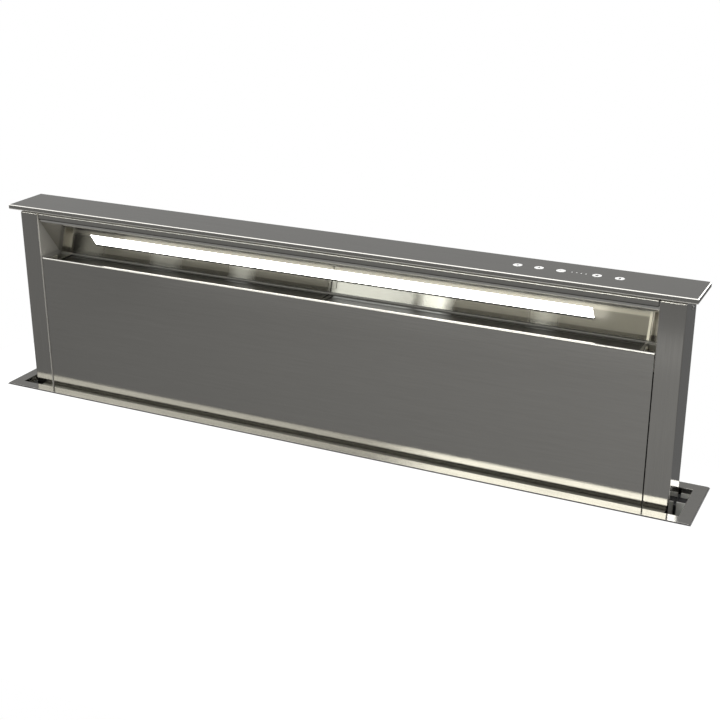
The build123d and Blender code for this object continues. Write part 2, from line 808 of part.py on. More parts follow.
def upright_plane(y):
    """Gives the plane across Y at the blower's axis, with its own x to the right and y up."""
    return Plane(origin=(wheel_x, y, wheel_z), x_dir=(1, 0, 0), z_dir=(0, -1, 0))


shaft_opening = 12.0
with BuildPart() as scroll_housing:
    extrude(scroll_face(upright_plane(scroll_back), 0), amount=scroll_width)
    extrude(
        scroll_face(upright_plane(scroll_back - scroll_wall), scroll_wall),
        amount=scroll_width - 2 * scroll_wall,
        mode=Mode.SUBTRACT,
    )
    with BuildSketch(upright_plane(scroll_back)):
        Circle(inlet_radius)
    extrude(amount=2 * scroll_wall, mode=Mode.SUBTRACT)
    with BuildSketch(upright_plane(scroll_front + scroll_wall)):
        RegularPolygon(shaft_opening, 8)
    extrude(amount=2 * scroll_wall, mode=Mode.SUBTRACT)
    # The throat's open end.
    throat_x = wheel_x + throat_reach
    throat_z = (wheel_z - scroll_end, wheel_z + throat_top)
    slab(
        (throat_x - 2 * scroll_wall, throat_x + 1),
        (scroll_front + scroll_wall, scroll_back - scroll_wall),
        (throat_z[0] + scroll_wall, throat_z[1] - scroll_wall),
        mode=Mode.SUBTRACT,
    )
save(scroll_housing.part, "scroll_housing")


def adaptor_body(inset):
    """Makes the hood from the throat to a square round the outlet hole, with its wall moved inwards by inset."""
    throat_height = throat_z[1] - throat_z[0]
    square = 2 * (duct_radius + 1.0 - inset)
    with BuildPart() as body:
        with BuildSketch(Plane.YZ.offset(throat_x)):
            with Locations((duct_y, sum(throat_z) / 2)):
                Rectangle(scroll_width - 2 * inset, throat_height - 2 * inset)
        with BuildSketch(Plane.YZ.offset(duct_start - blower_t)):
            with Locations((duct_y, duct_z)):
                Rectangle(square, square)
        loft(ruled=True)
    return body.part


with BuildPart() as outlet_adaptor:
    add(adaptor_body(0))
    add(adaptor_body(scroll_wall), mode=Mode.SUBTRACT)
save(outlet_adaptor.part, "outlet_adaptor")

# ---- Inlet ring: a bell mouth from the casing wall into the scroll ----
bell_radius = 9.0
throat_radius = inlet_radius - bell_radius
ring_plane = Plane(origin=(wheel_x, -wall_y, wheel_z), x_dir=(1, 0, 0), z_dir=(0, 0, 1))
ring_length = wall_y + scroll_back
with BuildPart() as inlet_ring:
    with BuildSketch(ring_plane):
        with BuildLine():
            Polyline(
                (inlet_radius + 14.0, 0),
                (inlet_radius, 0),
                (throat_radius, -bell_radius),
                (throat_radius, ring_length),
                (inlet_radius + 8.0, ring_length),
                (inlet_radius + 8.0, ring_length + scroll_wall),
                (throat_radius + scroll_wall, ring_length + scroll_wall),
                (throat_radius + scroll_wall, -bell_radius - scroll_wall / 2),
                (inlet_radius, -scroll_wall),
                (inlet_radius + 14.0, -scroll_wall),
                close=True,
            )
        make_face()
    revolve(axis=Axis((wheel_x, 0, wheel_z), (0, 1, 0)))
save(inlet_ring.part, "inlet_ring")

# ---- Blower wheel: forward-curved blades between a back plate and a ring ----
blade_inner = 74.0
blade_lean = 7.0
plate_t = 2.0
hub_radius = 16.0
fan_shaft_radius = 5.0
with BuildSketch() as blade_section:
    with BuildLine():
        Polyline(
            (blade_inner, 0),
            ((blade_inner + wheel_radius) / 2 + 1.5, 0.2 * blade_lean),
            (wheel_radius - 0.5, blade_lean),
        )
        offset(amount=blade_t, side=Side.LEFT)
    make_face()

with BuildPart() as blower_wheel:
    with BuildSketch(upright_plane(wheel_back - plate_t)):
        with PolarLocations(0, blade_count):
            add(blade_section.sketch)
    extrude(amount=wheel_width - 2 * plate_t)
    with BuildSketch(upright_plane(wheel_back)):
        Circle(wheel_radius + 0.5)
        Circle(wheel_radius - 4.0, mode=Mode.SUBTRACT)
    extrude(amount=plate_t)
    with BuildSketch(upright_plane(wheel_front + plate_t)):
        Circle(wheel_radius + 0.5)
        Circle(fan_shaft_radius, mode=Mode.SUBTRACT)
    extrude(amount=plate_t)
    with BuildSketch(upright_plane(wheel_front + plate_t + 20.0)):
        Circle(hub_radius)
        Circle(fan_shaft_radius, mode=Mode.SUBTRACT)
    extrude(amount=20.0)
save(blower_wheel.part, "blower_wheel")

motor_length = 42.0
motor_radius = 52.0
shaft_in_motor = 24.0
with BuildPart() as fan_shaft:
    with BuildSketch(upright_plane(wheel_front + plate_t + 24.0)):
        Circle(fan_shaft_radius)
    extrude(amount=wheel_front + plate_t + 24.0 - scroll_front + shaft_in_motor)
save(fan_shaft.part, "fan_shaft")

with BuildPart() as fan_motor:
    with BuildSketch(upright_plane(scroll_front)):
        Circle(motor_radius + 12.0)
    extrude(amount=2.0)
    with BuildSketch(upright_plane(scroll_front - 2.0)):
        Circle(motor_radius)
    extrude(amount=motor_length)
    chamfer(fan_motor.faces().sort_by(Axis.Y)[0].edges(), 6.0)
    with BuildSketch(upright_plane(scroll_front)):
        Circle(fan_shaft_radius + running_play)
    extrude(amount=shaft_in_motor + 4.0, mode=Mode.SUBTRACT)
save(fan_motor.part, "fan_motor")

# ---- Outlet collar with its two backdraught flaps ----
collar_flange = 10.0
with BuildPart() as outlet_collar:
    with BuildSketch(Plane.YZ.offset(duct_start)):
        with Locations((duct_y, duct_z)):
            Circle(duct_radius)
            Circle(duct_radius - duct_t, mode=Mode.SUBTRACT)
    extrude(amount=duct_length)
    with BuildSketch(Plane.YZ.offset(duct_start)):
        with Locations((duct_y, duct_z)):
            Circle(duct_radius + collar_flange)
            Circle(duct_radius - duct_t, mode=Mode.SUBTRACT)
    extrude(amount=duct_t)
    with Locations((flap_x, duct_y, duct_z)):
        Cylinder(flap_pin, 2 * duct_radius + 2, mode=Mode.SUBTRACT)
save(outlet_collar.part, "outlet_collar")

pin_half = duct_radius - 0.3
with BuildPart() as flap_hinge_pin:
    with Locations((flap_x, duct_y, duct_z)):
        Cylinder(flap_pin, 2 * pin_half)
save(flap_hinge_pin.part, "flap_hinge_pin")

knuckle_radius = flap_pin + running_play + 1.4
flap_radius = duct_radius - duct_t - flap_play
knuckle_gap = 0.4
knuckle_share = flap_radius / 2


def flap(side, knuckles):
    """Makes a half-round flap on one side of the pin; knuckles are its (low, high) spans along the pin."""
    with BuildPart() as leaf:
        with BuildSketch(Plane.YZ.offset(flap_x - flap_t / 2)):
            with Locations((duct_y, duct_z)):
                Circle(flap_radius)
            with Locations((duct_y - side * flap_radius, duct_z)):
                Rectangle(2 * flap_radius + 2 * knuckle_radius + 2 * knuckle_gap, 2 * flap_radius, mode=Mode.SUBTRACT)
        extrude(amount=flap_t)
        for low, high in knuckles:
            with Locations((flap_x, duct_y, duct_z + (low + high) / 2)):
                Cylinder(knuckle_radius, high - low)
            reach = (duct_y, duct_y + side * (knuckle_radius + knuckle_gap + 1.0))
            slab((flap_x - flap_t / 2, flap_x + flap_t / 2), (min(reach), max(reach)), (duct_z + low, duct_z + high))
        with Locations((flap_x, duct_y, duct_z)):
            Cylinder(flap_pin + running_play, 2 * duct_radius, mode=Mode.SUBTRACT)
    return leaf.part


middle_half = knuckle_share - knuckle_gap
outer_low = knuckle_share + knuckle_gap
outer_high = flap_radius - 4.0
save(flap(1, [(-outer_high, -outer_low), (outer_low, outer_high)]), "damper_flap_rear")
save(flap(-1, [(-middle_half, middle_half)]), "damper_flap_front")

# ---- Control box ----
control_x = (-500.0, -310.0)
control_z = (-350.0, -230.0)
control_depth = 46.0
control_t = 2.0
control_front = box_back - control_depth
with BuildPart() as control_box:
    slab(control_x, (control_front + control_t, box_back), control_z)
    chamfer(control_box.edges().filter_by(Axis.Y), 3.0)
    slab(
        (control_x[0] + control_t, control_x[1] - control_t),
        (control_front, box_back - control_t),
        (control_z[0] + control_t, control_z[1] - control_t),
        mode=Mode.SUBTRACT,
    )
save(control_box.part, "control_box")

with BuildPart() as control_cover:
    slab(control_x, (control_front, control_front + control_t), control_z)
    chamfer(control_cover.edges().filter_by(Axis.Y), 3.0)
    with BuildSketch(Plane.XZ.offset(-control_front)):
        with Locations((sum(control_x) / 2, sum(control_z) / 2)):
            with GridLocations(9.0, 0, 9, 1):
                Rectangle(3.0, 46.0)
    extrude(amount=-2 * control_t, both=True, mode=Mode.SUBTRACT)
save(control_cover.part, "control_cover")

gland_radius = 9.0
gland_length = 12.0
gland_x = control_x[0] + 34.0
with BuildPart() as mains_gland:
    with BuildSketch(Plane.XY.offset(control_z[0] - gland_length)):
        with Locations((gland_x, (control_front + box_back) / 2)):
            RegularPolygon(gland_radius, 6)
            Circle(gland_radius / 2, mode=Mode.SUBTRACT)
    extrude(amount=gland_length)
save(mains_gland.part, "mains_gland")
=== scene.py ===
"""Looks of a raised worktop downdraft vent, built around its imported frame.

The vent is a brushed steel riser that stands out of a flange in the worktop, with a long lamp in
a polished deflector, grease filters in the slot below it, and a sheet steel casing and blower
under the worktop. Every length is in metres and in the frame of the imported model.
"""

from __future__ import annotations

import functools
import json
import logging
import math
from dataclasses import dataclass
from enum import Enum
from typing import Callable, Mapping, Sequence

import bmesh
import bpy
from mathutils import Euler, Matrix, Vector

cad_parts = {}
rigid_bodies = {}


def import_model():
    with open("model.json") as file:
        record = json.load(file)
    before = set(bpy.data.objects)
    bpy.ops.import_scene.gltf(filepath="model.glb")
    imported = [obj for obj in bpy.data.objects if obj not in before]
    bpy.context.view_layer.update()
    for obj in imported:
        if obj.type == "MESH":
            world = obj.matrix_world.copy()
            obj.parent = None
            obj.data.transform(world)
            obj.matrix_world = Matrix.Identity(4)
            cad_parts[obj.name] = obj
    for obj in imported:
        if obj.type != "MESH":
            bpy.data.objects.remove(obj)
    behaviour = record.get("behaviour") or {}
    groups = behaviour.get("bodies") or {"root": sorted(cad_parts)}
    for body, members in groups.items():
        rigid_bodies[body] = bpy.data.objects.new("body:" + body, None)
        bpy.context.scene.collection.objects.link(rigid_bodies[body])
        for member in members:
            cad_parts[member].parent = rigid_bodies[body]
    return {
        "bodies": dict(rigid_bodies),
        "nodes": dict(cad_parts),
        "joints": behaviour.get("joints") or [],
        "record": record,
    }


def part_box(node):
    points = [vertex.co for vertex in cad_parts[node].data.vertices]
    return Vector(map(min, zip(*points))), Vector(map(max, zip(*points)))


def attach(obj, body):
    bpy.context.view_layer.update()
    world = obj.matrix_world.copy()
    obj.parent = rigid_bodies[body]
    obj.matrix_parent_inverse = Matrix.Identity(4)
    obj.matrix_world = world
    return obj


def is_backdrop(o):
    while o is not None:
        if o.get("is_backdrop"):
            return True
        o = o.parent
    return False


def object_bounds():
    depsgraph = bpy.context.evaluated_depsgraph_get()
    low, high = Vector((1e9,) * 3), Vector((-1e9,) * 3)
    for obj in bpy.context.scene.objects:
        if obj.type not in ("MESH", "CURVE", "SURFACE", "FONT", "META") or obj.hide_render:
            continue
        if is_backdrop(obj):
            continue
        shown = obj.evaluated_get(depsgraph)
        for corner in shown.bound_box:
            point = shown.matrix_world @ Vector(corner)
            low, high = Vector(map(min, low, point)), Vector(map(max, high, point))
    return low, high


LOG = logging.getLogger("downdraft_vent")
MM = 0.001
SHARP = 0.01 * MM  # over what length a mark with a hard edge fades

Colour = tuple[float, float, float]
Point = tuple[float, float, float]
Outline = Callable[[float], float]
Node = bpy.types.Node
Object = bpy.types.Object
Socket = bpy.types.NodeSocket
Shape = bmesh.types.BMesh
Corner = bmesh.types.BMVert

FRONT: Point = (0.0, -1.0, 0.0)


class Grain(Enum):
    """Direction in which a sheet was brushed, as brush marks to a metre on each axis."""

    ALONG = (22.0, 900.0, 900.0)
    UPRIGHT = (900.0, 900.0, 22.0)


class Symbol(Enum):
    """Generic marks of the touch fields."""

    LAMP = "lamp"
    LIFT = "lift"
    LESS = "less"
    MORE = "more"
    TIMER = "timer"


class Body(Enum):
    """Rigid bodies of the vent that the small pieces ride on."""

    BASE = "base"
    RISER = "riser"


# ---- Node helpers ----


class Graph:
    """A small wrapper that adds nodes to a tree and fills their inputs."""

    def __init__(self, tree: bpy.types.NodeTree) -> None:
        """Keeps the tree, shader or geometry, and empties it."""
        self.tree = tree
        self.tree.nodes.clear()

    def feed(self, node: Node, values: Mapping[str | int, object]) -> Node:
        """Fills a node's inputs.

        Args:
            node: The node.
            values: Sockets or plain values, by the input's name or number.

        Returns:
            The same node.
        """
        for key, value in values.items():
            if isinstance(value, Socket):
                self.tree.links.new(value, node.inputs[key])
            else:
                node.inputs[key].default_value = value
        return node

    def add(
        self, kind: str, inputs: Mapping[str | int, object] | None = None, **values: object
    ) -> Node:
        """Adds a node.

        Args:
            kind: The node's type name.
            inputs: Sockets or plain values for its inputs, by name or number.
            **values: Plain properties of the node, set before its inputs.

        Returns:
            The new node.
        """
        node = self.tree.nodes.new(kind)
        for key, value in values.items():
            setattr(node, key, value)
        return self.feed(node, inputs or {})

    def axes(self, place: Socket) -> Mapping[str, Socket]:
        """Splits a place into X, Y and Z."""
        return self.add("ShaderNodeSeparateXYZ", {0: place}).outputs

    def math(self, operation: str, first: object, second: object = 0.0) -> Socket:
        """Gives the result of an operation on two sockets or numbers."""
        return self.add("ShaderNodeMath", {0: first, 1: second}, operation=operation).outputs[0]

    def times(self, *factors: object) -> Socket:
        """Gives the product of two or more sockets and numbers."""
        return functools.reduce(functools.partial(self.math, "MULTIPLY"), factors)

    def weigh(self, first: Socket, share: float, second: Socket) -> Socket:
        """Adds a share of one value to the rest of another."""
        return self.math("ADD", self.times(first, share), self.times(second, 1.0 - share))

    def noise(
        self, place: Socket, scale: float, detail: float = 2.0, roughness: float = 0.5
    ) -> Socket:
        """Gives a noise texture's value, about 0.5 on average, with scale in cells to a metre."""
        values = {"Vector": place, "Scale": scale, "Detail": detail, "Roughness": roughness}
        return self.add("ShaderNodeTexNoise", values).outputs["Fac"]

    def stretch(self, place: Socket, scale: Sequence[float]) -> Socket:
        """Scales a place by its own amount on each axis."""
        return self.add("ShaderNodeMapping", {"Vector": place, "Scale": scale}).outputs["Vector"]

    def spread(
        self, value: Socket, low: float, high: float, new_low: float = 0.0, new_high: float = 1.0
    ) -> Socket:
        """Maps a value from one range to another and holds it there."""
        limits = {"From Min": low, "From Max": high, "To Min": new_low, "To Max": new_high}
        return self.add("ShaderNodeMapRange", {"Value": value, **limits}).outputs["Result"]

    def blend(self, factor: Socket, first: object, second: object) -> Socket:
        """Mixes two colours by a factor.

        Args:
            factor: How much of the second colour there is.
            first: A colour or its socket.
            second: A colour or its socket.

        Returns:
            The mixed colour.
        """
        node = self.add("ShaderNodeMix", {0: factor}, data_type="RGBA")
        numbers = [i for i, socket in enumerate(node.inputs) if socket.type == "RGBA"]
        colours = [c if isinstance(c, Socket) else (*c, 1.0) for c in (first, second)]
        self.feed(node, dict(zip(numbers, colours)))
        return next(socket for socket in node.outputs if socket.type == "RGBA")

    def between(
        self, place: Socket, axis: str, low: float, high: float, soft: float = SHARP
    ) -> Socket:
        """Marks the places that lie between two values on one axis.

        Args:
            place: The place that is tested.
            axis: X, Y or Z.
            low: The lower value.
            high: The upper value.
            soft: Over what length the mark fades outwards.

        Returns:
            One inside and zero outside.
        """
        offset = self.math("SUBTRACT", self.axes(place)[axis], (low + high) / 2)
        half = (high - low) / 2
        return self.spread(self.math("ABSOLUTE", offset), half, half + soft, 1.0, 0.0)

    def bump(self, height: Socket, strength: float, distance: float) -> Socket:
        """Turns a height into a normal."""
        values = {"Height": height, "Strength": strength, "Distance": distance}
        return self.add("ShaderNodeBump", values).outputs["Normal"]

    def choose(self, factor: Socket, first: Socket, second: Socket) -> Socket:
        """Mixes two shaders by a factor."""
        return self.add("ShaderNodeMixShader", {0: factor, 1: first, 2: second}).outputs[0]

    def by_ray(
        self, path: Mapping[str, Socket], plain: Socket, mirrored: Socket, seen: Socket
    ) -> Socket:
        """Picks a shader by what kind of ray meets it.

        Args:
            path: The outputs of a Light Path node.
            plain: The shader for rays that light matt things.
            mirrored: The shader that shows in metal.
            seen: The shader that the camera sees.

        Returns:
            The joint shader.
        """
        in_metal = self.choose(path["Is Glossy Ray"], plain, mirrored)
        to_eye = self.math("MAXIMUM", path["Is Camera Ray"], path["Is Transmission Ray"])
        return self.choose(to_eye, in_metal, seen)


def shader_group(name: str, place: str, *outputs: str) -> tuple[Graph, Socket, Node]:
    """Makes an empty shader node group that turns a place into numbers.

    Args:
        name: The group's name.
        place: Its input's name.
        *outputs: Its outputs' names.

    Returns:
        The group's graph, the place, and the node that takes the outputs.
    """
    tree = bpy.data.node_groups.new(name, "ShaderNodeTree")
    tree.interface.new_socket(place, in_out="INPUT", socket_type="NodeSocketVector")
    for output in outputs:
        tree.interface.new_socket(output, in_out="OUTPUT", socket_type="NodeSocketFloat")
    graph = Graph(tree)
    return graph, graph.add("NodeGroupInput").outputs[0], graph.add("NodeGroupOutput")


def scaled(colour: Colour, share: float, extra: float = 0.0) -> Colour:
    """Makes a colour lighter or darker, at most white."""
    return tuple(min(1.0, channel * share + extra) for channel in colour)


class Effects:
    """Shader groups that several finishes share, each built once."""

    noise_range = (0.3, 0.7)  # where most of a noise texture's values lie
    fine_share = 0.7  # of the fine brush lines; the rest is coarse
    coarse_scale = (0.31, 0.31, 0.31)  # coarse brush lines to fine ones
    clouds = 3.1  # handling marks to a metre
    crystals = 85.0  # zinc crystals to a metre

    def __init__(self) -> None:
        """Builds the groups."""
        self.grain = self._grain()
        self.handling = self._handling()
        self.spangle = self._spangle()

    def _grain(self) -> bpy.types.NodeTree:
        """Draws fine brush lines from a place already stretched along them.

        Returns:
            The group.
        """
        graph, place, outs = shader_group("brush_grain", "Stretched", "Shade", "Height")
        fine = graph.noise(place, 1.0, 3.0, 0.65)
        coarse = graph.noise(graph.stretch(place, self.coarse_scale), 1.0, 1.0)
        both = graph.weigh(fine, self.fine_share, coarse)
        graph.feed(outs, {"Shade": graph.spread(both, *self.noise_range), "Height": fine})
        return graph.tree

    def _handling(self) -> bpy.types.NodeTree:
        """Draws the broad, faint clouds left by rolling and wiping.

        Returns:
            The group.
        """
        graph, place, outs = shader_group("handling_marks", "Place", "Cloud")
        cloud = graph.noise(place, self.clouds, 3.0, 0.55)
        graph.feed(outs, {"Cloud": graph.spread(cloud, *self.noise_range)})
        return graph.tree

    def _spangle(self) -> bpy.types.NodeTree:
        """Draws the zinc crystals on galvanised sheet.

        Returns:
            The group.
        """
        graph, place, outs = shader_group("zinc_spangle", "Place", "Flake")
        cells = {"Vector": place, "Scale": self.crystals}
        flakes = graph.add("ShaderNodeTexVoronoi", cells, feature="F1")
        bright = graph.add("ShaderNodeSeparateColor", {"Color": flakes.outputs["Color"]})
        graph.feed(outs, {"Flake": bright.outputs["Red"]})
        return graph.tree


# ---- Finishes ----


class Surface:
    """A material that is being made: its graph, its shader and the place on the object."""

    def __init__(self, name: str, effects: Effects) -> None:
        """Makes the material with its shader.

        Args:
            name: The material's name.
            effects: The shared shader groups.
        """
        self.effects = effects
        self.material = bpy.data.materials.new(name)
        self.material.use_nodes = True
        self.graph = Graph(self.material.node_tree)
        self.shader = self.graph.add("ShaderNodeBsdfPrincipled")
        self.graph.add("ShaderNodeOutputMaterial", {"Surface": self.shader.outputs["BSDF"]})
        self.place = self.graph.add("ShaderNodeTexCoord").outputs["Object"]

    def effect(self, tree: bpy.types.NodeTree, place: Socket) -> Mapping[str, Socket]:
        """Feeds a place to a shared effect and gives the effect's outputs."""
        return self.graph.add("ShaderNodeGroup", {0: place}, node_tree=tree).outputs

    def cloud(self, place: Socket) -> Socket:
        """Gives the handling marks at a place."""
        return self.effect(self.effects.handling, place)["Cloud"]


@dataclass(frozen=True)
class Finish:
    """What every finish has: a name and the slot of the record that it stands for."""

    name: str
    slot: str

    def material(self, effects: Effects) -> bpy.types.Material:
        """Builds the finish's material.

        Args:
            effects: The shared shader groups.

        Returns:
            The material.
        """
        surface = Surface(self.name, effects)
        surface.graph.feed(surface.shader, self.paint(surface))
        return surface.material

    def paint(self, surface: Surface) -> dict[str, object]:
        """Draws the finish on a surface and gives the shader's inputs by name."""
        raise NotImplementedError


@dataclass(frozen=True)
class PaintedLightPatch:
    """A part of a sheet, between two places on one axis, with painted light or shade: a lighter or
    darker colour and its own roughness.

    It reaches down to the height above, and back to the place rear.
    """

    axis: str
    low: float
    high: float
    roughness: float
    shade: float
    above: float = -1.0
    rear: float = 1.0
    soft: float = 6.0 * MM

    def inside(self, graph: Graph, place: Socket) -> Socket:
        """Marks the patch.

        Args:
            graph: The material's graph.
            place: The place on the object.

        Returns:
            One inside and zero outside.
        """
        return graph.times(
            graph.between(place, self.axis, self.low, self.high),
            graph.between(place, "Z", self.above, 1.0, self.soft),
            graph.between(place, "Y", -1.0, self.rear),
        )


@dataclass(frozen=True)
class BrushedSteel(Finish):
    """Stainless sheet with fine brush lines, and patches of painted light and shade."""

    dark: Colour
    light: Colour
    roughness: float
    grain: Grain = Grain.ALONG
    relief: float = 0.12
    patches: tuple[PaintedLightPatch, ...] = ()
    lines_share: float = 0.75
    change: float = 0.04  # of the roughness, between dark and light lines

    def paint(self, surface: Surface) -> dict[str, object]:
        """Draws brushed steel.

        Args:
            surface: The material that is being made.

        Returns:
            The shader's inputs by name.
        """
        graph, place = surface.graph, surface.place
        lines = surface.effect(surface.effects.grain, graph.stretch(place, self.grain.value))
        shade = graph.weigh(lines["Shade"], self.lines_share, surface.cloud(place))
        colour = graph.blend(shade, self.dark, self.light)
        limits = (self.roughness + self.change, self.roughness - self.change)
        roughness = graph.spread(shade, 0.0, 1.0, *limits)
        # Each patch paints light or shade over the brush lines: a lighter or darker colour and its
        # own roughness.
        for patch in self.patches:
            inside = patch.inside(graph, place)
            extra = graph.times(inside, patch.roughness - self.roughness)
            roughness = graph.math("ADD", roughness, extra)
            colour = graph.blend(inside, colour, scaled(self.light, patch.shade))
        return {
            "Base Color": colour,
            "Roughness": roughness,
            "Normal": graph.bump(lines["Height"], self.relief, 0.4 * MM),
            "Metallic": 1.0,
        }


@dataclass(frozen=True)
class GalvanisedSheet(Finish):
    """Zinc-coated sheet with a faint crystal pattern."""

    dark: Colour
    light: Colour
    flake_share: float = 0.6
    roughness: tuple[float, float] = (0.34, 0.5)

    def paint(self, surface: Surface) -> dict[str, object]:
        """Draws galvanised sheet.

        Args:
            surface: The material that is being made.

        Returns:
            The shader's inputs by name.
        """
        graph, place = surface.graph, surface.place
        flake = surface.effect(surface.effects.spangle, place)["Flake"]
        shade = graph.weigh(flake, self.flake_share, surface.cloud(place))
        return {
            "Base Color": graph.blend(shade, self.dark, self.light),
            "Roughness": graph.spread(flake, 0.0, 1.0, *self.roughness),
            "Normal": graph.bump(flake, 0.06, 0.3 * MM),
            "Metallic": 0.85,
        }


@dataclass(frozen=True)
class PlainMetal(Finish):
    """Turned, cast or painted metal with light wear."""

    colour: Colour
    roughness: float
    metallic: float = 1.0
    wear_scale: tuple[float, float, float] = (9.0, 9.0, 9.0)
    wear_light: float = 1.18
    wear_change: tuple[float, float] = (-0.04, 0.06)  # of the roughness
    specks: float = 900.0  # to a metre

    def paint(self, surface: Surface) -> dict[str, object]:
        """Draws a plain metal.

        Args:
            surface: The material that is being made.

        Returns:
            The shader's inputs by name.
        """
        graph, place = surface.graph, surface.place
        wear = surface.cloud(graph.stretch(place, self.wear_scale))
        limits = (self.roughness + change for change in self.wear_change)
        return {
            "Base Color": graph.blend(wear, self.colour, scaled(self.colour, self.wear_light)),
            "Roughness": graph.spread(wear, 0.0, 1.0, *limits),
            "Normal": graph.bump(graph.noise(place, self.specks, 1.0), 0.05, 0.2 * MM),
            "Metallic": self.metallic,
        }


@dataclass(frozen=True)
class PerforatedSheet(Finish):
    """Filter sheet with a close pattern of small holes painted dark between its rims, painted
    light and shade on its rims and ends, and polished fields with painted highlights.
    """

    colour: Colour
    roughness: float
    holes: tuple[float, float] = (-19.0 * MM, 8.0 * MM)
    pitch: float = 1.7 * MM
    ends: float = 499.5 * MM
    beyond: float = 50.0 * MM  # past the sheet's front and rear
    painted_highlight_colour: Colour = (0.60, 0.62, 0.635)
    polished: float = 0.06  # roughness of a polished field
    fade: float = 20.0 * MM
    # Where each polished field with its painted highlight begins and ends, and how strong its
    # highlight and polish are.
    fields: tuple[tuple[float, float, float], ...] = (
        (-0.52, -0.45, 0.1),
        (-0.325, -0.295, 0.2),
        (-0.17, -0.155, 0.4),
        (0.014, 0.13, 1.0),
        (0.16, 0.188, 0.8),
        (0.342, 0.352, 0.2),
    )
    # Worn light; painted shade in the holes and on the rear rim; painted light on the front rim
    # and on the outer ends; as shares of the colour.
    shares: tuple[float, ...] = (1.06, 0.45, 1.9, 3.2)

    def paint(self, surface: Surface) -> dict[str, object]:
        """Draws perforated sheet.

        Args:
            surface: The material that is being made.

        Returns:
            The shader's inputs by name.
        """
        graph, place = surface.graph, surface.place
        axes = graph.axes(place)
        waves = [graph.math("SINE", graph.times(axes[a], math.pi / self.pitch)) for a in "XY"]
        dots = graph.spread(graph.times(*waves), 0.6, 0.8)
        # Painted shade: the holes are drawn dark, for the shade seen through them.
        hole = graph.times(dots, graph.between(place, "Y", *self.holes))
        fields = [
            graph.times(graph.between(place, "X", low, high, self.fade), share)
            for low, high, share in self.fields
        ]
        bright = functools.reduce(functools.partial(graph.math, "MAXIMUM"), fields)
        # The painted highlights and the polish show only where the sheet is seen steeply, as in
        # the deflector, and fade out at a flat angle.
        facing = graph.add("ShaderNodeLayerWeight", {"Blend": 0.5}).outputs["Facing"]
        steep = graph.spread(facing, 0.3, 0.55, 1.0, 0.0)
        bright = graph.times(bright, steep, graph.between(place, "Y", self.holes[0], self.beyond))
        hole = graph.times(hole, graph.math("SUBTRACT", 1.0, bright))
        light, dark, pale, edge = (scaled(self.colour, share) for share in self.shares)
        worn = graph.blend(surface.cloud(place), self.colour, light)
        colour = graph.blend(hole, worn, dark)
        # Painted shade darkens the rear rim and painted light lightens the front rim.
        rear_rim = graph.between(place, "Y", self.holes[1], self.beyond)
        front_rim = graph.between(place, "Y", -self.beyond, self.holes[0])
        colour = graph.blend(front_rim, graph.blend(rear_rim, colour, dark), pale)
        # The polished fields get a painted highlight colour.
        colour = graph.blend(bright, colour, self.painted_highlight_colour)
        # Past the filter's ends the sheet is painted lighter, as painted light.
        middle = graph.between(place, "X", -self.ends, self.ends)
        return {
            "Base Color": graph.blend(middle, edge, colour),
            "Roughness": graph.spread(bright, 0.0, 1.0, self.roughness, self.polished),
            "Metallic": 1.0,
        }


@dataclass(frozen=True)
class MouldedPlastic(Finish):
    """Moulded plastic or rubber with a fine spark-eroded texture."""

    colour: Colour
    roughness: float
    texture: float = 0.25
    pores: float = 1400.0  # to a metre
    change: float = 0.06  # of the roughness, up and down

    def paint(self, surface: Surface) -> dict[str, object]:
        """Draws moulded plastic.

        Args:
            surface: The material that is being made.

        Returns:
            The shader's inputs by name.
        """
        graph = surface.graph
        pores = graph.noise(surface.place, self.pores, 2.0, 0.6)
        limits = (self.roughness - self.change, self.roughness + self.change)
        return {
            "Base Color": graph.blend(pores, self.colour, scaled(self.colour, 1.35, 0.004)),
            "Roughness": graph.spread(pores, *Effects.noise_range, *limits),
            "Normal": graph.bump(pores, self.texture, 0.2 * MM),
        }


@dataclass(frozen=True)
class Glow(Finish):
    """A frosted cover lit from behind by a row of diodes."""

    colour: Colour
    strength: float
    facing: Point = (0.0, -0.89, -0.456)
    frost: float = 700.0  # grains to a metre

    def paint(self, surface: Surface) -> dict[str, object]:
        """Draws the lit cover.

        Args:
            surface: The material that is being made.

        Returns:
            The shader's inputs by name.
        """
        graph = surface.graph
        frost = graph.noise(surface.place, self.frost, 1.0)
        # Only the face that looks out of the deflector is lit, not the cover's edges.
        normal = graph.add("ShaderNodeNewGeometry").outputs["True Normal"]
        vectors = {0: normal, 1: self.facing}
        alike = graph.add("ShaderNodeVectorMath", vectors, operation="DOT_PRODUCT")
        lit = graph.math("GREATER_THAN", alike.outputs["Value"], 0.9)
        return {
            "Emission Color": graph.blend(frost, scaled(self.colour, 0.98), self.colour),
            "Emission Strength": graph.times(lit, self.strength),
            "Roughness": graph.spread(frost, *Effects.noise_range, 0.45, 0.6),
            "Base Color": (0.9, 0.9, 0.88, 1.0),
        }


def brushed(name: str, *patches: PaintedLightPatch, grain: Grain = Grain.ALONG) -> BrushedSteel:
    """Makes the finish of one brushed sheet; the sheets differ in their patches of painted light
    and shade, and in their grain.
    """
    colours: tuple[Colour, Colour] = ((0.355, 0.347, 0.325), (0.40, 0.391, 0.367))
    return BrushedSteel(name, "steel_brushed", *colours, 0.13, grain, patches=patches)


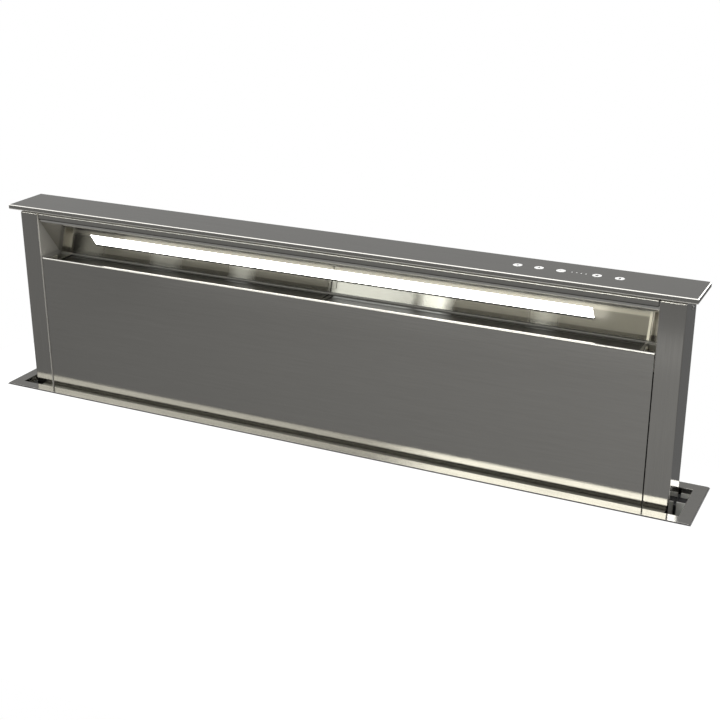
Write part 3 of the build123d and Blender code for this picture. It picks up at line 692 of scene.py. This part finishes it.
def vent_finishes() -> tuple[Finish, ...]:
    """Lists every finish of the vent.

    Returns:
        The finishes.
    """
    # Painted lamp light on the posts' inner walls: lighter and rougher, with less of it at the
    # foot.
    post_foot_dim_painted_light = PaintedLightPatch("X", -0.5275, 0.5252, 0.85, 1.1, rear=0.022)
    post_wall_painted_lamp_light = PaintedLightPatch("X", -0.5275, 0.5252, 0.85, 1.5, above=0.238, rear=0.022)
    # Painted shade darkens the deflector's foot, next to the filter slot.
    deflector_foot_painted_shade = PaintedLightPatch("Z", 0.2, 0.2325, 0.5, 0.6)
    # Painted shade darkens the wells' rear walls.
    well_rear_painted_shade = PaintedLightPatch("Y", 0.006, 0.05, 0.4, 0.38)
    # A painted dark line of shade along the header's lower bend.
    header_lower_bend_painted_shade = PaintedLightPatch("Z", 0.2, 0.3013, 0.4, 0.25)
    # A painted highlight along the top bends of the posts and header, under the cap.
    top_bend_painted_highlight = PaintedLightPatch("Z", 0.308, 0.311, 0.4, 2.4)
    # Painted shade darkens the rear half of the fascia's top hem.
    fascia_hem_painted_shade = PaintedLightPatch("Y", -0.0304, -0.02, 0.4, 0.3)
    # A painted highlight along the cap's lower edge.
    cap_lower_edge_painted_highlight = PaintedLightPatch("Z", 0.314, 0.3154, 0.5, 1.7)
    # Painted contact shadow darkens the flange's front and right edges.
    flange_front_painted_shadow = PaintedLightPatch("Y", -0.065, -0.064, 0.4, 0.12)
    flange_right_painted_shadow = PaintedLightPatch("X", 0.5998, 0.601, 0.4, 0.12)
    mirror: tuple[Colour, Colour] = ((0.60, 0.59, 0.56), (0.66, 0.65, 0.61))
    # The wells are painted pale, standing in for lamp light on their floors.
    well_painted_lamp_light: tuple[Colour, Colour] = ((0.84, 0.82, 0.75), (0.9, 0.88, 0.81))
    return (
        brushed("steel_sheet"),
        brushed("steel_cap", cap_lower_edge_painted_highlight),
        brushed("steel_flange", flange_front_painted_shadow, flange_right_painted_shadow),
        brushed("steel_post", post_foot_dim_painted_light, post_wall_painted_lamp_light, top_bend_painted_highlight, grain=Grain.UPRIGHT),
        brushed("steel_header", header_lower_bend_painted_shade, top_bend_painted_highlight),
        brushed("steel_fascia", fascia_hem_painted_shade),
        BrushedSteel(
            "steel_mirror", "steel_polished", *mirror, 0.08, relief=0.03, patches=(deflector_foot_painted_shade,)
        ),
        GalvanisedSheet("zinc_sheet", "galvanised", (0.36, 0.375, 0.385), (0.47, 0.485, 0.495)),
        PlainMetal("zinc_parts", "zinc_steel", (0.50, 0.50, 0.48), 0.3),
        PlainMetal("rail_zinc", "galvanised", (0.78, 0.78, 0.74), 0.6, 0.4),
        BrushedSteel("well_steel_painted_lit", "filter_frame", *well_painted_lamp_light, 0.5, patches=(well_rear_painted_shade,)),
        PerforatedSheet("filter_sheet", "filter_mesh", (0.14, 0.137, 0.126), 0.28),
        PlainMetal("damper_sheet", "damper_metal", (0.55, 0.56, 0.57), 0.36),
        PlainMetal("motor_shell", "motor_steel", (0.16, 0.165, 0.17), 0.45, 0.6),
        PlainMetal("screw_head", "zinc_steel", (0.42, 0.42, 0.41), 0.26),
        MouldedPlastic("black_plastic", "black_plastic", (0.018, 0.018, 0.02), 0.48),
        # The cap's gasket is painted grey, not its own black, to lighten the shadow gap under the
        # cap with painted light.
        MouldedPlastic("gasket_painted_light_grey", "rubber_black", (0.22, 0.22, 0.21), 0.9, 0.6),
        MouldedPlastic("white_board", "circuit_board", (0.7, 0.7, 0.68), 0.5, 0.1),
        MouldedPlastic("white_print", "circuit_board", (0.93, 0.93, 0.92), 0.5, 0.05),
        MouldedPlastic("pale_seal", "seal_grey", (0.46, 0.46, 0.42), 0.75, 0.4),
        Glow("lamp_cover", "lamp_glow", (1.0, 0.985, 0.93), 7.0),
    )


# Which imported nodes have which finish.
NODE_FINISHES = {
    "steel_sheet": "back_panel",
    "steel_post": "post_left post_right",
    "steel_mirror": "deflector_panel",
    "zinc_sheet": "casing_front casing_rear casing_left casing_right casing_floor blower_box"
    " blower_cover cabinet_feet worktop_clamps cross_rail_front cross_rail_rear filter_ledge"
    " control_box control_cover outlet_collar",
    "zinc_parts": "clamp_screws lift_shaft fan_shaft flap_hinge_pin pinion_left pinion_right"
    " trip_cam",
    "filter_sheet": "filter_frame_left filter_frame_right filter_mesh_left filter_mesh_right",
    "damper_sheet": "damper_flap_front damper_flap_rear",
    "black_plastic": "glide_blocks shaft_bushes rack_left rack_right limit_switches mains_gland"
    " blower_wheel scroll_housing outlet_adaptor inlet_ring touch_module lamp_housing",
    "motor_shell": "lift_gearmotor fan_motor",
    "gasket_painted_light_grey": "cap_gasket",
    "pale_seal": "opening_seals",
    "well_steel_painted_lit": "finger_wells",
    "steel_cap": "cap_plate",
    "steel_flange": "worktop_flange",
    "steel_header": "header_rail",
    "steel_fascia": "fascia_panel",
    "rail_zinc": "guide_rail_left guide_rail_right",
    "white_board": "led_strip",
    "lamp_cover": "lamp_diffuser",
}


class Finishes:
    """All finishes of the vent, built once and found by name."""

    def __init__(self) -> None:
        """Builds the shared effects and every material."""
        effects = Effects()
        made = vent_finishes()
        self.slots = {finish.name: finish.slot for finish in made}
        self.materials = {finish.name: finish.material(effects) for finish in made}

    def dress_nodes(self, nodes: dict[str, Object]) -> None:
        """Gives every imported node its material, through its own slots.

        Args:
            nodes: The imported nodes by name.
        """
        dressed = set()
        for finish, names in NODE_FINISHES.items():
            for name in names.split():
                node = nodes[name]
                if not node.material_slots:
                    node.data.materials.append(self.materials[finish])
                for slot in node.material_slots:
                    slot.material = self.materials[finish]
                dressed.add(name)
                LOG.info("node %s: %s", name, finish)
        bare = sorted(set(nodes) - dressed)
        if bare:
            LOG.warning("nodes with no finish: %s", bare)

    def dress_piece(self, piece: Object, finish: str, body: Body) -> None:
        """Gives a new piece its material and its body.

        Args:
            piece: The finished piece, at the origin.
            finish: A finish's name.
            body: The rigid body it rides on.
        """
        piece.data.materials.clear()
        piece.data.materials.append(self.materials[finish])
        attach(piece, body.value)
        LOG.info("piece %s: %s on %s", piece.name, finish, body.value)


# ---- Mesh helpers ----


def mesh_object(name: str, build: Callable[[Shape], object]) -> Object:
    """Makes a mesh object at the origin.

    Args:
        name: The object's name.
        build: Fills an empty bmesh.

    Returns:
        The new object.
    """
    shape = bmesh.new()
    build(shape)
    bmesh.ops.recalc_face_normals(shape, faces=shape.faces)
    mesh = bpy.data.meshes.new(name)
    shape.to_mesh(mesh)
    shape.free()
    made = bpy.data.objects.new(name, mesh)
    bpy.context.scene.collection.objects.link(made)
    return made


def band(shape: Shape, first: Sequence[Corner], second: Sequence[Corner]) -> None:
    """Joins two closed loops of as many corners by a band of faces.

    Args:
        shape: The bmesh to add to.
        first: One loop's corners, in order.
        second: The other loop's corners.
    """
    for i in range(len(first)):
        j = (i + 1) % len(first)
        shape.faces.new((first[i], first[j], second[j], second[i]))


def prism(shape: Shape, outline: Sequence[Sequence[float]], low: float, high: float) -> None:
    """Adds an upright prism over an outline in the XY plane.

    Args:
        shape: The bmesh to add to.
        outline: The outline's (x, y) corners, in order.
        low: The prism's lower height.
        high: The prism's upper height.
    """
    bottom, top = ([shape.verts.new((x, y, z)) for x, y in outline] for z in (low, high))
    shape.faces.new(bottom)
    shape.faces.new(top)
    band(shape, bottom, top)


def circle(_: float) -> float:
    """Gives a circle's reach, as a share of its radius."""
    return 1.0


def hexagon(angle: float) -> float:
    """Gives a hexagon's reach at an angle, as a share of its corners' reach."""
    return math.cos(math.pi / 6) / math.cos((angle % (math.pi / 3)) - math.pi / 6)


def loop(
    shape: Shape, centre: Sequence[float], radius: float, outline: Outline, z: float, count: int
) -> list[Corner]:
    """Adds a level loop of corners round a centre.

    Args:
        shape: The bmesh to add to.
        centre: The loop's centre.
        radius: The loop's radius.
        outline: The loop's reach from the centre by angle, as a share of the radius.
        z: The loop's height.
        count: How many corners it has.

    Returns:
        The corners, in order.
    """
    corners = []
    for angle in (2 * math.pi * i / count for i in range(count)):
        reach = radius * outline(angle)
        x, y = reach * math.cos(angle), reach * math.sin(angle)
        corners.append(shape.verts.new((centre[0] + x, centre[1] + y, z)))
    return corners


def ring(
    shape: Shape,
    centre: Sequence[float],
    radius: float,
    hole: Outline,
    heights: tuple[float, float],
    count: int = 96,
) -> None:
    """Adds a flat closed ring in the XY plane, with a hole of any outline that the centre sees.

    Args:
        shape: The bmesh to add to.
        centre: The ring's centre.
        radius: The ring's outer radius.
        hole: The hole's reach from the centre by angle, as a share of the radius.
        heights: The ring's lower and upper height.
        count: How many corners a loop has.
    """
    low, high = heights
    rims = ((circle, low), (circle, high), (hole, high), (hole, low))
    loops = [loop(shape, centre, radius, outline, z, count) for outline, z in rims]
    for first, second in zip(loops, loops[1:] + loops[:1]):
        band(shape, first, second)


# A screw head's loops from its foot to its socket's floor, as shares of its radius and height.
HEAD_LOOPS = (
    (1.0, 0.0, circle),
    (1.0, 0.35, circle),
    (0.88, 0.75, circle),
    (0.6, 1.0, circle),
    (0.42, 1.0, hexagon),
    (0.42, 0.45, hexagon),
)


def screw_mesh(shape: Shape, radius: float, height: float, count: int = 24) -> None:
    """Adds a domed screw head with a hexagonal socket, standing on the XY plane.

    Args:
        shape: The bmesh to add to.
        radius: The head's radius.
        height: The head's height.
        count: How many corners a loop has.
    """
    loops = [
        loop(shape, (0.0, 0.0), radius * share, outline, height * rise, count)
        for share, rise, outline in HEAD_LOOPS
    ]
    for first, second in zip(loops, loops[1:]):
        band(shape, first, second)
    shape.faces.new(loops[-1])
    shape.faces.new(list(reversed(loops[0])))


# ---- Repeated pieces ----


class Pattern:
    """A Geometry Nodes tree that sets copies of one shape and joins them into one mesh."""

    def __init__(self, name: str, inputs: dict[str, str]) -> None:
        """Makes an empty tree with its Geometry, Material and named sockets.

        Args:
            name: The tree's name.
            inputs: Names and kinds of the inputs besides Geometry and Material.
        """
        self.tree = bpy.data.node_groups.new(name, "GeometryNodeTree")
        sockets = [("INPUT", "Geometry", "Geometry"), ("OUTPUT", "Geometry", "Geometry")]
        sockets += [("INPUT", socket, kind) for socket, kind in inputs.items()]
        for side, socket, kind in (*sockets, ("INPUT", "Material", "Material")):
            self.tree.interface.new_socket(socket, in_out=side, socket_type=f"NodeSocket{kind}")
        self.graph = Graph(self.tree)
        self.ins = self.graph.add("NodeGroupInput").outputs
        self.outs = self.graph.add("NodeGroupOutput")

    def finish(self, copies: dict[str, Socket]) -> None:
        """Ends the tree in Instance on Points, Realize Instances and Set Material.

        Args:
            copies: The inputs of Instance on Points.
        """
        geometry = self.graph.add("GeometryNodeInstanceOnPoints", copies).outputs["Instances"]
        real = self.graph.add("GeometryNodeRealizeInstances", {"Geometry": geometry})
        paint = {"Geometry": real.outputs["Geometry"], "Material": self.ins["Material"]}
        painted = self.graph.add("GeometryNodeSetMaterial", paint)
        self.graph.feed(self.outs, {"Geometry": painted.outputs["Geometry"]})

    def mesh(self, name: str, carrier: Object, values: dict[str, object]) -> Object:
        """Runs the tree on a carrier and keeps the result as a plain mesh.

        Args:
            name: The new object's name.
            carrier: An object whose mesh is the tree's geometry; it is removed.
            values: Values for the tree's named inputs.

        Returns:
            The new object, at the origin.
        """
        modifier = carrier.modifiers.new("pattern", "NODES")
        modifier.node_group = self.tree
        for item in self.tree.interface.items_tree:
            if item.item_type == "SOCKET" and item.in_out == "INPUT" and item.name in values:
                modifier[item.identifier] = values[item.name]
        bpy.context.view_layer.update()
        graph = bpy.context.evaluated_depsgraph_get()
        result = bpy.data.meshes.new_from_object(carrier.evaluated_get(graph))
        result.name = name
        carrier.modifiers.clear()
        bpy.data.objects.remove(carrier)
        made = bpy.data.objects.new(name, result)
        bpy.context.scene.collection.objects.link(made)
        return made


class Patterns:
    """The patterns of the vent: fasteners on chosen points, and rows of straight bars."""

    screw_finish = "screw_head"

    def __init__(self, finishes: Finishes) -> None:
        """Builds the trees.

        Args:
            finishes: The vent's materials.
        """
        self.finishes = finishes
        self.fasteners = self._fasteners()
        self.rows = self._rows()

    @staticmethod
    def _fasteners() -> Pattern:
        """Sets copies of one head on every point, turned to stand on a wall.

        Returns:
            The pattern.
        """
        pattern = Pattern("fasteners_on_points", {"Head": "Object", "Turn": "Rotation"})
        ins = pattern.ins
        head = pattern.graph.add("GeometryNodeObjectInfo", {"Object": ins["Head"]})
        copies = {"Points": ins["Geometry"], "Instance": head.outputs["Geometry"]}
        pattern.finish({**copies, "Rotation": ins["Turn"]})
        return pattern

    @staticmethod
    def _rows() -> Pattern:
        """Sets a row of equal bars, a pitch apart.

        Returns:
            The pattern.
        """
        kinds = {"Count": "Int", "Start": "Vector", "Pitch": "Vector", "Bar Size": "Vector"}
        pattern = Pattern("row_of_bars", kinds)
        ins = pattern.ins
        steps = {"Count": ins["Count"], "Start Location": ins["Start"], "Offset": ins["Pitch"]}
        line = pattern.graph.add("GeometryNodeMeshLine", steps)
        cube = pattern.graph.add("GeometryNodeMeshCube", {"Size": ins["Bar Size"]})
        pattern.finish({"Points": line.outputs["Mesh"], "Instance": cube.outputs["Mesh"]})
        return pattern

    def screws(
        self,
        name: str,
        points: Sequence[Point],
        normal: Point,
        head_size: tuple[float, float],
        body: Body,
    ) -> None:
        """Sets screw heads on points of a wall.

        Args:
            name: The piece's name.
            points: Where the heads stand.
            normal: The wall's outward direction.
            head_size: A head's radius and height.
            body: The rigid body they ride on.
        """
        head = mesh_object(name + "_head", lambda shape: screw_mesh(shape, *head_size))
        carrier = mesh_object(
            name + "_points", lambda shape: [shape.verts.new(point) for point in points]
        )
        turn = Vector((0.0, 0.0, 1.0)).rotation_difference(Vector(normal)).to_euler()
        material = self.finishes.materials[self.screw_finish]
        values = {"Head": head, "Turn": turn, "Material": material}
        piece = self.fasteners.mesh(name, carrier, values)
        bpy.data.objects.remove(head)
        self.finishes.dress_piece(piece, self.screw_finish, body)

    def bars(self, name: str, values: dict[str, object], finish: str, body: Body) -> None:
        """Makes a row of equal bars.

        Args:
            name: The piece's name.
            values: The bars' Count, Start, Pitch and Bar Size.
            finish: The bars' finish.
            body: The rigid body they ride on.
        """
        carrier = mesh_object(name + "_carrier", lambda shape: None)
        material = self.finishes.materials[finish]
        piece = self.rows.mesh(name, carrier, {**values, "Material": material})
        self.finishes.dress_piece(piece, finish, body)


# ---- Small pieces ----


@dataclass
class TouchPanel:
    """The printed touch fields at the cap's right end."""

    places: tuple[tuple[Symbol, float], ...] = (
        (Symbol.LAMP, 310.4 * MM),
        (Symbol.LIFT, 342.4 * MM),
        (Symbol.LESS, 374.9 * MM),
        (Symbol.MORE, 427.2 * MM),
        (Symbol.TIMER, 459.6 * MM),
    )
    row_y: float = 1.5 * MM
    radius: float = 6.75 * MM
    dots_from: float = 391.0 * MM
    dots_pitch: float = 6.75 * MM
    dots_count: int = 4
    dot_size: float = 1.9 * MM
    print_height: float = 0.03 * MM

    def build(self, finishes: Finishes, patterns: Patterns) -> None:
        """Prints the fields and the row of speed dots on the cap.

        Args:
            finishes: The vent's materials.
            patterns: The repeated pieces.
        """
        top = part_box("cap_plate")[1].z
        heights = (top - self.print_height, top + self.print_height)
        for symbol, x in self.places:
            # Each field is a white disc that leaves its symbol bare.
            draw = functools.partial(
                ring,
                centre=(x, self.row_y),
                radius=self.radius,
                hole=functools.partial(self._reach, symbol),
                heights=heights,
            )
            piece = mesh_object(f"touch_field_{symbol.value}", draw)
            finishes.dress_piece(piece, "white_print", Body.RISER)
        dots = {
            "Count": self.dots_count,
            "Start": (self.dots_from, self.row_y, top),
            "Pitch": (self.dots_pitch, 0.0, 0.0),
            "Bar Size": (self.dot_size, self.dot_size, 2 * self.print_height),
        }
        patterns.bars("speed_dots", dots, "white_print", Body.RISER)

    @staticmethod
    def _reach(symbol: Symbol, angle: float) -> float:
        """Gives a symbol's outline as its reach from the centre, as a share of the disc's radius.

        Args:
            symbol: The symbol.
            angle: The direction in which the reach is measured.

        Returns:
            The reach at that angle.
        """
        if symbol is Symbol.LAMP:
            return 0.22 + 0.14 * (0.5 + 0.5 * math.cos(8 * angle))
        if symbol is Symbol.LIFT:
            turn = (angle + math.pi / 6) % (2 * math.pi / 3) - math.pi / 3
            return 0.24 / math.cos(turn)
        # The other symbols are a lying bar, a standing bar or both, of a length and half width.
        bars = {Symbol.LESS: (0.4, 0.1), Symbol.MORE: (0.42, 0.2), Symbol.TIMER: (0.6, 0.2)}
        length, half = bars[symbol]
        cos, sin = (max(abs(turned), 1e-6) for turned in (math.cos(angle), math.sin(angle)))
        lying = min(length / cos, half / sin)
        standing = min(half / cos, length / sin)
        if symbol is Symbol.LESS:
            return lying
        return standing if symbol is Symbol.TIMER else max(lying, standing)


@dataclass
class Fasteners:
    """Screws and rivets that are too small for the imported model.

    A head's size is its radius and its height.
    """

    post_screw_y: float = 7.4 * MM
    post_screw_z: float = 292.0 * MM
    post_head: tuple[float, float] = (3.2 * MM, 1.7 * MM)
    cover_inset: float = 14.0 * MM
    cover_head: tuple[float, float] = (4.2 * MM, 1.5 * MM)
    rivet_pitch: float = 48.0 * MM
    rivet_inset: float = 6.0 * MM
    rivet_head: tuple[float, float] = (2.8 * MM, 1.2 * MM)
    box_sheet: float = 1.2 * MM
    control_inset: float = 9.0 * MM
    control_head: tuple[float, float] = (3.0 * MM, 1.4 * MM)

    def build(self, patterns: Patterns) -> None:
        """Sets every fastener.

        Args:
            patterns: The repeated pieces.
        """
        for side, sign in (("left", -1.0), ("right", 1.0)):
            low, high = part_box(f"post_{side}")
            spot = (low.x if sign < 0 else high.x, self.post_screw_y, self.post_screw_z)
            name = f"post_screw_{side}"
            patterns.screws(name, [spot], (sign, 0.0, 0.0), self.post_head, Body.RISER)
        for name, spots, head in (
            ("cover_screws", self._cover_spots(), self.cover_head),
            ("box_rivets", self._rivet_spots(), self.rivet_head),
            ("control_screws", self._control_spots(), self.control_head),
        ):
            patterns.screws(name, spots, FRONT, head, Body.BASE)

    def _cover_spots(self) -> list[Point]:
        """Gives the screws' places round the blower's front cover.

        Returns:
            The places.
        """
        low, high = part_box("blower_cover")
        inset = self.cover_inset
        xs = (low.x + inset, (low.x + high.x) / 2, high.x - inset)
        zs = (low.z + inset, (low.z + high.z) / 2, high.z - inset)
        return [(x, low.y, z) for x in xs for z in zs if (x, z) != (xs[1], zs[1])]

    def _rivet_spots(self) -> list[Point]:
        """Gives the rivets' places on the blower box's flange, which holds it to the casing.

        Returns:
            The places.
        """
        low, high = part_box("blower_box")
        face = high.y - self.box_sheet
        left, right = low.x + self.rivet_inset, high.x - self.rivet_inset
        bottom, top = low.z + self.rivet_inset, high.z - self.rivet_inset
        across = int((right - left) / self.rivet_pitch)
        upwards = int((top - bottom) / self.rivet_pitch)
        spots: list[Point] = []
        for i in range(across + 1):
            x = left + (right - left) * i / across
            spots += [(x, face, bottom), (x, face, top)]
        for i in range(1, upwards):
            z = bottom + (top - bottom) * i / upwards
            spots += [(left, face, z), (right, face, z)]
        return spots

    def _control_spots(self) -> list[Point]:
        """Gives the places of the four screws in the control box's cover.

        Returns:
            The places.
        """
        low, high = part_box("control_cover")
        xs = (low.x + self.control_inset, high.x - self.control_inset)
        zs = (low.z + self.control_inset, high.z - self.control_inset)
        return [(x, low.y, z) for x in xs for z in zs]


# ---- Studio ----


@dataclass(frozen=True)
class Softbox:
    """One rectangular soft lamp."""

    name: str
    place: Point
    target: Point
    size: tuple[float, float]
    radiance: float
    colour: Colour = (1.0, 1.0, 1.0)

    def build(self) -> None:
        """Hangs the lamp and turns it to its target."""
        lamp = bpy.data.lights.new(self.name, "AREA")
        lamp.shape = "RECTANGLE"
        lamp.size, lamp.size_y = self.size
        # A one-sided panel of this radiance gives off radiance x area x pi.
        lamp.energy = self.radiance * self.size[0] * self.size[1] * math.pi
        lamp.color = self.colour
        holder = bpy.data.objects.new(self.name, lamp)
        holder.location = self.place
        aim = Vector(self.target) - Vector(self.place)
        holder.rotation_euler = aim.to_track_quat("-Z", "Y").to_euler()
        holder.visible_camera = False
        bpy.context.scene.collection.objects.link(holder)


WARM: Colour = (1.0, 0.995, 0.93)
# Two lamps in front, one overhead and one behind on the right.
SOFTBOXES = (
    Softbox("front_right_box", (-0.25, -2.5, 1.30), (0.3, 0.0, 0.1), (1.3, 0.6), 6.5, WARM),
    Softbox("front_left_box", (-1.9, -2.4, 1.20), (-0.3, 0.0, 0.1), (1.8, 0.6), 2.6, WARM),
    Softbox("overhead_box", (-1.1, -1.35, 2.4), (-1.1, -0.1, 0.3), (4.2, 1.6), 2.6),
    Softbox("rear_right_box", (1.6, 2.6, 1.17), (0.5, 0.0, 0.3), (1.3, 1.0), 6.0),
)


@dataclass
class Studio:
    """Camera, lamps, white surroundings and the pale worktop."""

    camera_place: Point = (0.8833, -1.6900, 0.8667)
    camera_yaw: float = 25.98
    camera_down: float = 21.31
    camera_roll: float = -0.10
    lens: float = 64.55
    sensor: float = 36.0
    clip_start: float = 0.05
    worktop: tuple[Point, Point] = ((-0.72, -0.76, -0.030), (0.88, 0.115, -0.0002))
    worktop_play: float = 2.0 * MM  # between the casing and the cut-out
    flange: tuple[float, float] = (600.0 * MM, 64.2 * MM)
    room_light: float = 0.62
    wall: float = 0.39
    low_wall: float = 0.3
    low_wall_right: float = 0.42
    behind: float = 0.17

    def build(self) -> None:
        """Sets up the whole studio."""
        scene = bpy.context.scene
        scene.view_settings.view_transform = "Standard"
        self._camera(scene)
        self._world(scene)
        self._worktop()
        for softbox in SOFTBOXES:
            softbox.build()

    def _camera(self, scene: bpy.types.Scene) -> None:
        """Places the camera where the photograph was taken from.

        Args:
            scene: The scene that gets the camera.
        """
        data = bpy.data.cameras.new("camera")
        data.lens = self.lens
        data.sensor_width = self.sensor
        data.clip_start = self.clip_start
        camera = bpy.data.objects.new("camera", data)
        tilt, yaw = math.radians(90.0 - self.camera_down), math.radians(self.camera_yaw)
        roll = Matrix.Rotation(math.radians(self.camera_roll), 3, "Z")
        turn = Euler((tilt, 0.0, yaw)).to_matrix() @ roll
        camera.matrix_world = Matrix.Translation(self.camera_place) @ turn.to_4x4()
        scene.collection.objects.link(camera)
        scene.camera = camera

    def _world(self, scene: bpy.types.Scene) -> None:
        """Makes the room: white to the eye; in metal, white overhead, grey walls, darker below.

        Args:
            scene: The scene to light.
        """
        world = bpy.data.worlds.new("studio")
        world.use_nodes = True
        scene.world = world
        graph = Graph(world.node_tree)
        way = graph.axes(graph.add("ShaderNodeTexCoord").outputs["Generated"])
        ramp = graph.add("ShaderNodeValToRGB", {"Fac": graph.spread(way["Z"], -1.0, 1.0)})
        # The room's brightness from straight down, at 0, to straight up, at 1.
        stops = ((0.44, self.low_wall), (0.56, self.wall), (0.78, self.wall), (0.93, 1.0))
        elements = ramp.color_ramp.elements
        elements[0].position, elements[1].position = stops[0][0], stops[-1][0]
        for position, _ in stops[1:-1]:
            elements.new(position)
        for element, (_, level) in zip(elements, stops):
            element.color = (level, level, level, 1.0)
        low_rear = graph.times(
            graph.spread(way["Y"], 0.2, 0.6), graph.spread(way["Z"], -0.05, -0.25)
        )
        level = graph.blend(low_rear, ramp.outputs["Color"], (self.behind,) * 3)
        room_light = {"Color": (1.0, 0.995, 0.985, 1.0), "Strength": self.room_light}
        room, mirrored, white = (
            graph.add("ShaderNodeBackground", values).outputs[0]
            for values in (room_light, {"Color": level}, {"Color": (1.0, 1.0, 1.0, 1.0)})
        )
        path = graph.add("ShaderNodeLightPath").outputs
        surface = graph.by_ray(path, room, mirrored, white)
        graph.add("ShaderNodeOutputWorld", {"Surface": surface})

    def _worktop(self) -> None:
        """Lays a pale board with the vent's cut-out; its top is the photograph's white ground."""
        low, high = self.worktop
        left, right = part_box("casing_left")[0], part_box("casing_right")[1]
        play = self.worktop_play
        hole = ((left.x - play, left.y - play), (right.x + play, right.y + play))
        blocks = (
            ((low[0], low[1]), (high[0], hole[0][1])),
            ((low[0], hole[1][1]), (high[0], high[1])),
            ((low[0], hole[0][1]), (hole[0][0], hole[1][1])),
            ((hole[1][0], hole[0][1]), (high[0], hole[1][1])),
        )

        def board(shape: Shape) -> None:
            """Draws the board as four blocks round the cut-out."""
            for (x0, y0), (x1, y1) in blocks:
                prism(shape, ((x0, y0), (x1, y0), (x1, y1), (x0, y1)), low[2], high[2])

        top = mesh_object("worktop_board", board)
        top.data.materials.append(self._pale("worktop_pale"))
        top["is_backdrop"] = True

    def _pale(self, name: str) -> bpy.types.Material:
        """Makes the board's surface: white to the eye with a faint shadow and a painted shadow
        round the flange; in metal, grey with painted light and shade.

        Args:
            name: The material's name.

        Returns:
            The material.
        """
        material = bpy.data.materials.new(name)
        material.use_nodes = True
        graph = Graph(material.node_tree)
        path = graph.add("ShaderNodeLightPath").outputs
        place = graph.axes(graph.add("ShaderNodeTexCoord").outputs["Object"])
        x, y = place["X"], place["Y"]
        flange_x, flange_y = self.flange
        # Painted light and shade in metal: the board is lighter to the right and far in front, and
        # painted shade darkens it behind the vent.
        grey = graph.times(
            graph.times(
                graph.spread(x, -0.75, 0.45, self.low_wall, self.low_wall_right),
                graph.spread(y, -0.35, -0.1, 1.0, 0.93),
            ),
            graph.times(
                graph.spread(y, -0.62, -0.55, 1.2, 1.0),
                graph.spread(y, flange_y, flange_y + 1.0 * MM, 1.0, 0.45),
            ),
        )
        # A painted contact shadow darkens a thin band round the flange, in metal and to the eye.
        beyond_x = graph.math("SUBTRACT", graph.math("ABSOLUTE", x), flange_x)
        beyond_y = graph.math("SUBTRACT", graph.math("ABSOLUTE", y), flange_y)
        beyond = graph.math("MAXIMUM", beyond_x, beyond_y)
        in_metal = graph.times(grey, graph.spread(beyond, 3.0 * MM, 5.0 * MM, 0.05, 1.0))
        to_eye = graph.spread(beyond, 0.6 * MM, 1.8 * MM, 0.1, 0.9)
        matt, faint = (
            graph.add("ShaderNodeBsdfDiffuse", {"Color": colour}).outputs[0]
            for colour in ((0.7, 0.7, 0.69, 1.0), (0.2, 0.2, 0.2, 1.0))
        )
        mirrored, light = (
            graph.add("ShaderNodeEmission", {"Strength": strength}).outputs[0]
            for strength in (in_metal, to_eye)
        )
        seen = graph.add("ShaderNodeAddShader", {0: faint, 1: light}).outputs[0]
        # Only the board's top shows, and only from above, so nothing hides the vent from below.
        surface = graph.add("ShaderNodeNewGeometry").outputs
        upward = graph.math("GREATER_THAN", graph.axes(surface["True Normal"])["Z"], 0.5)
        front = graph.math("SUBTRACT", 1.0, surface["Backfacing"])
        other = graph.math("SUBTRACT", 1.0, graph.times(upward, front))
        clear = graph.choose(
            graph.times(other, path["Is Camera Ray"]),
            graph.by_ray(path, matt, mirrored, seen),
            graph.add("ShaderNodeBsdfTransparent").outputs[0],
        )
        graph.add("ShaderNodeOutputMaterial", {"Surface": clear})
        return material


# ---- The whole vent ----


class DowndraftVent:
    """Builds the vent's looks in order."""

    def __init__(self) -> None:
        """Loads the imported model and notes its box."""
        self.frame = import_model()
        self.cad_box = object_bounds()
        self.finishes = Finishes()
        self.patterns = Patterns(self.finishes)

    def build(self) -> None:
        """Dresses the nodes and adds the small pieces."""
        self.finishes.dress_nodes(self.frame["nodes"])
        TouchPanel().build(self.finishes, self.patterns)
        Fasteners().build(self.patterns)


def main() -> None:
    """Builds the studio and the vent."""
    logging.basicConfig(level=logging.INFO, format="%(message)s")
    vent = DowndraftVent()
    Studio().build()
    vent.build()


if __name__ == "__main__":
    main()
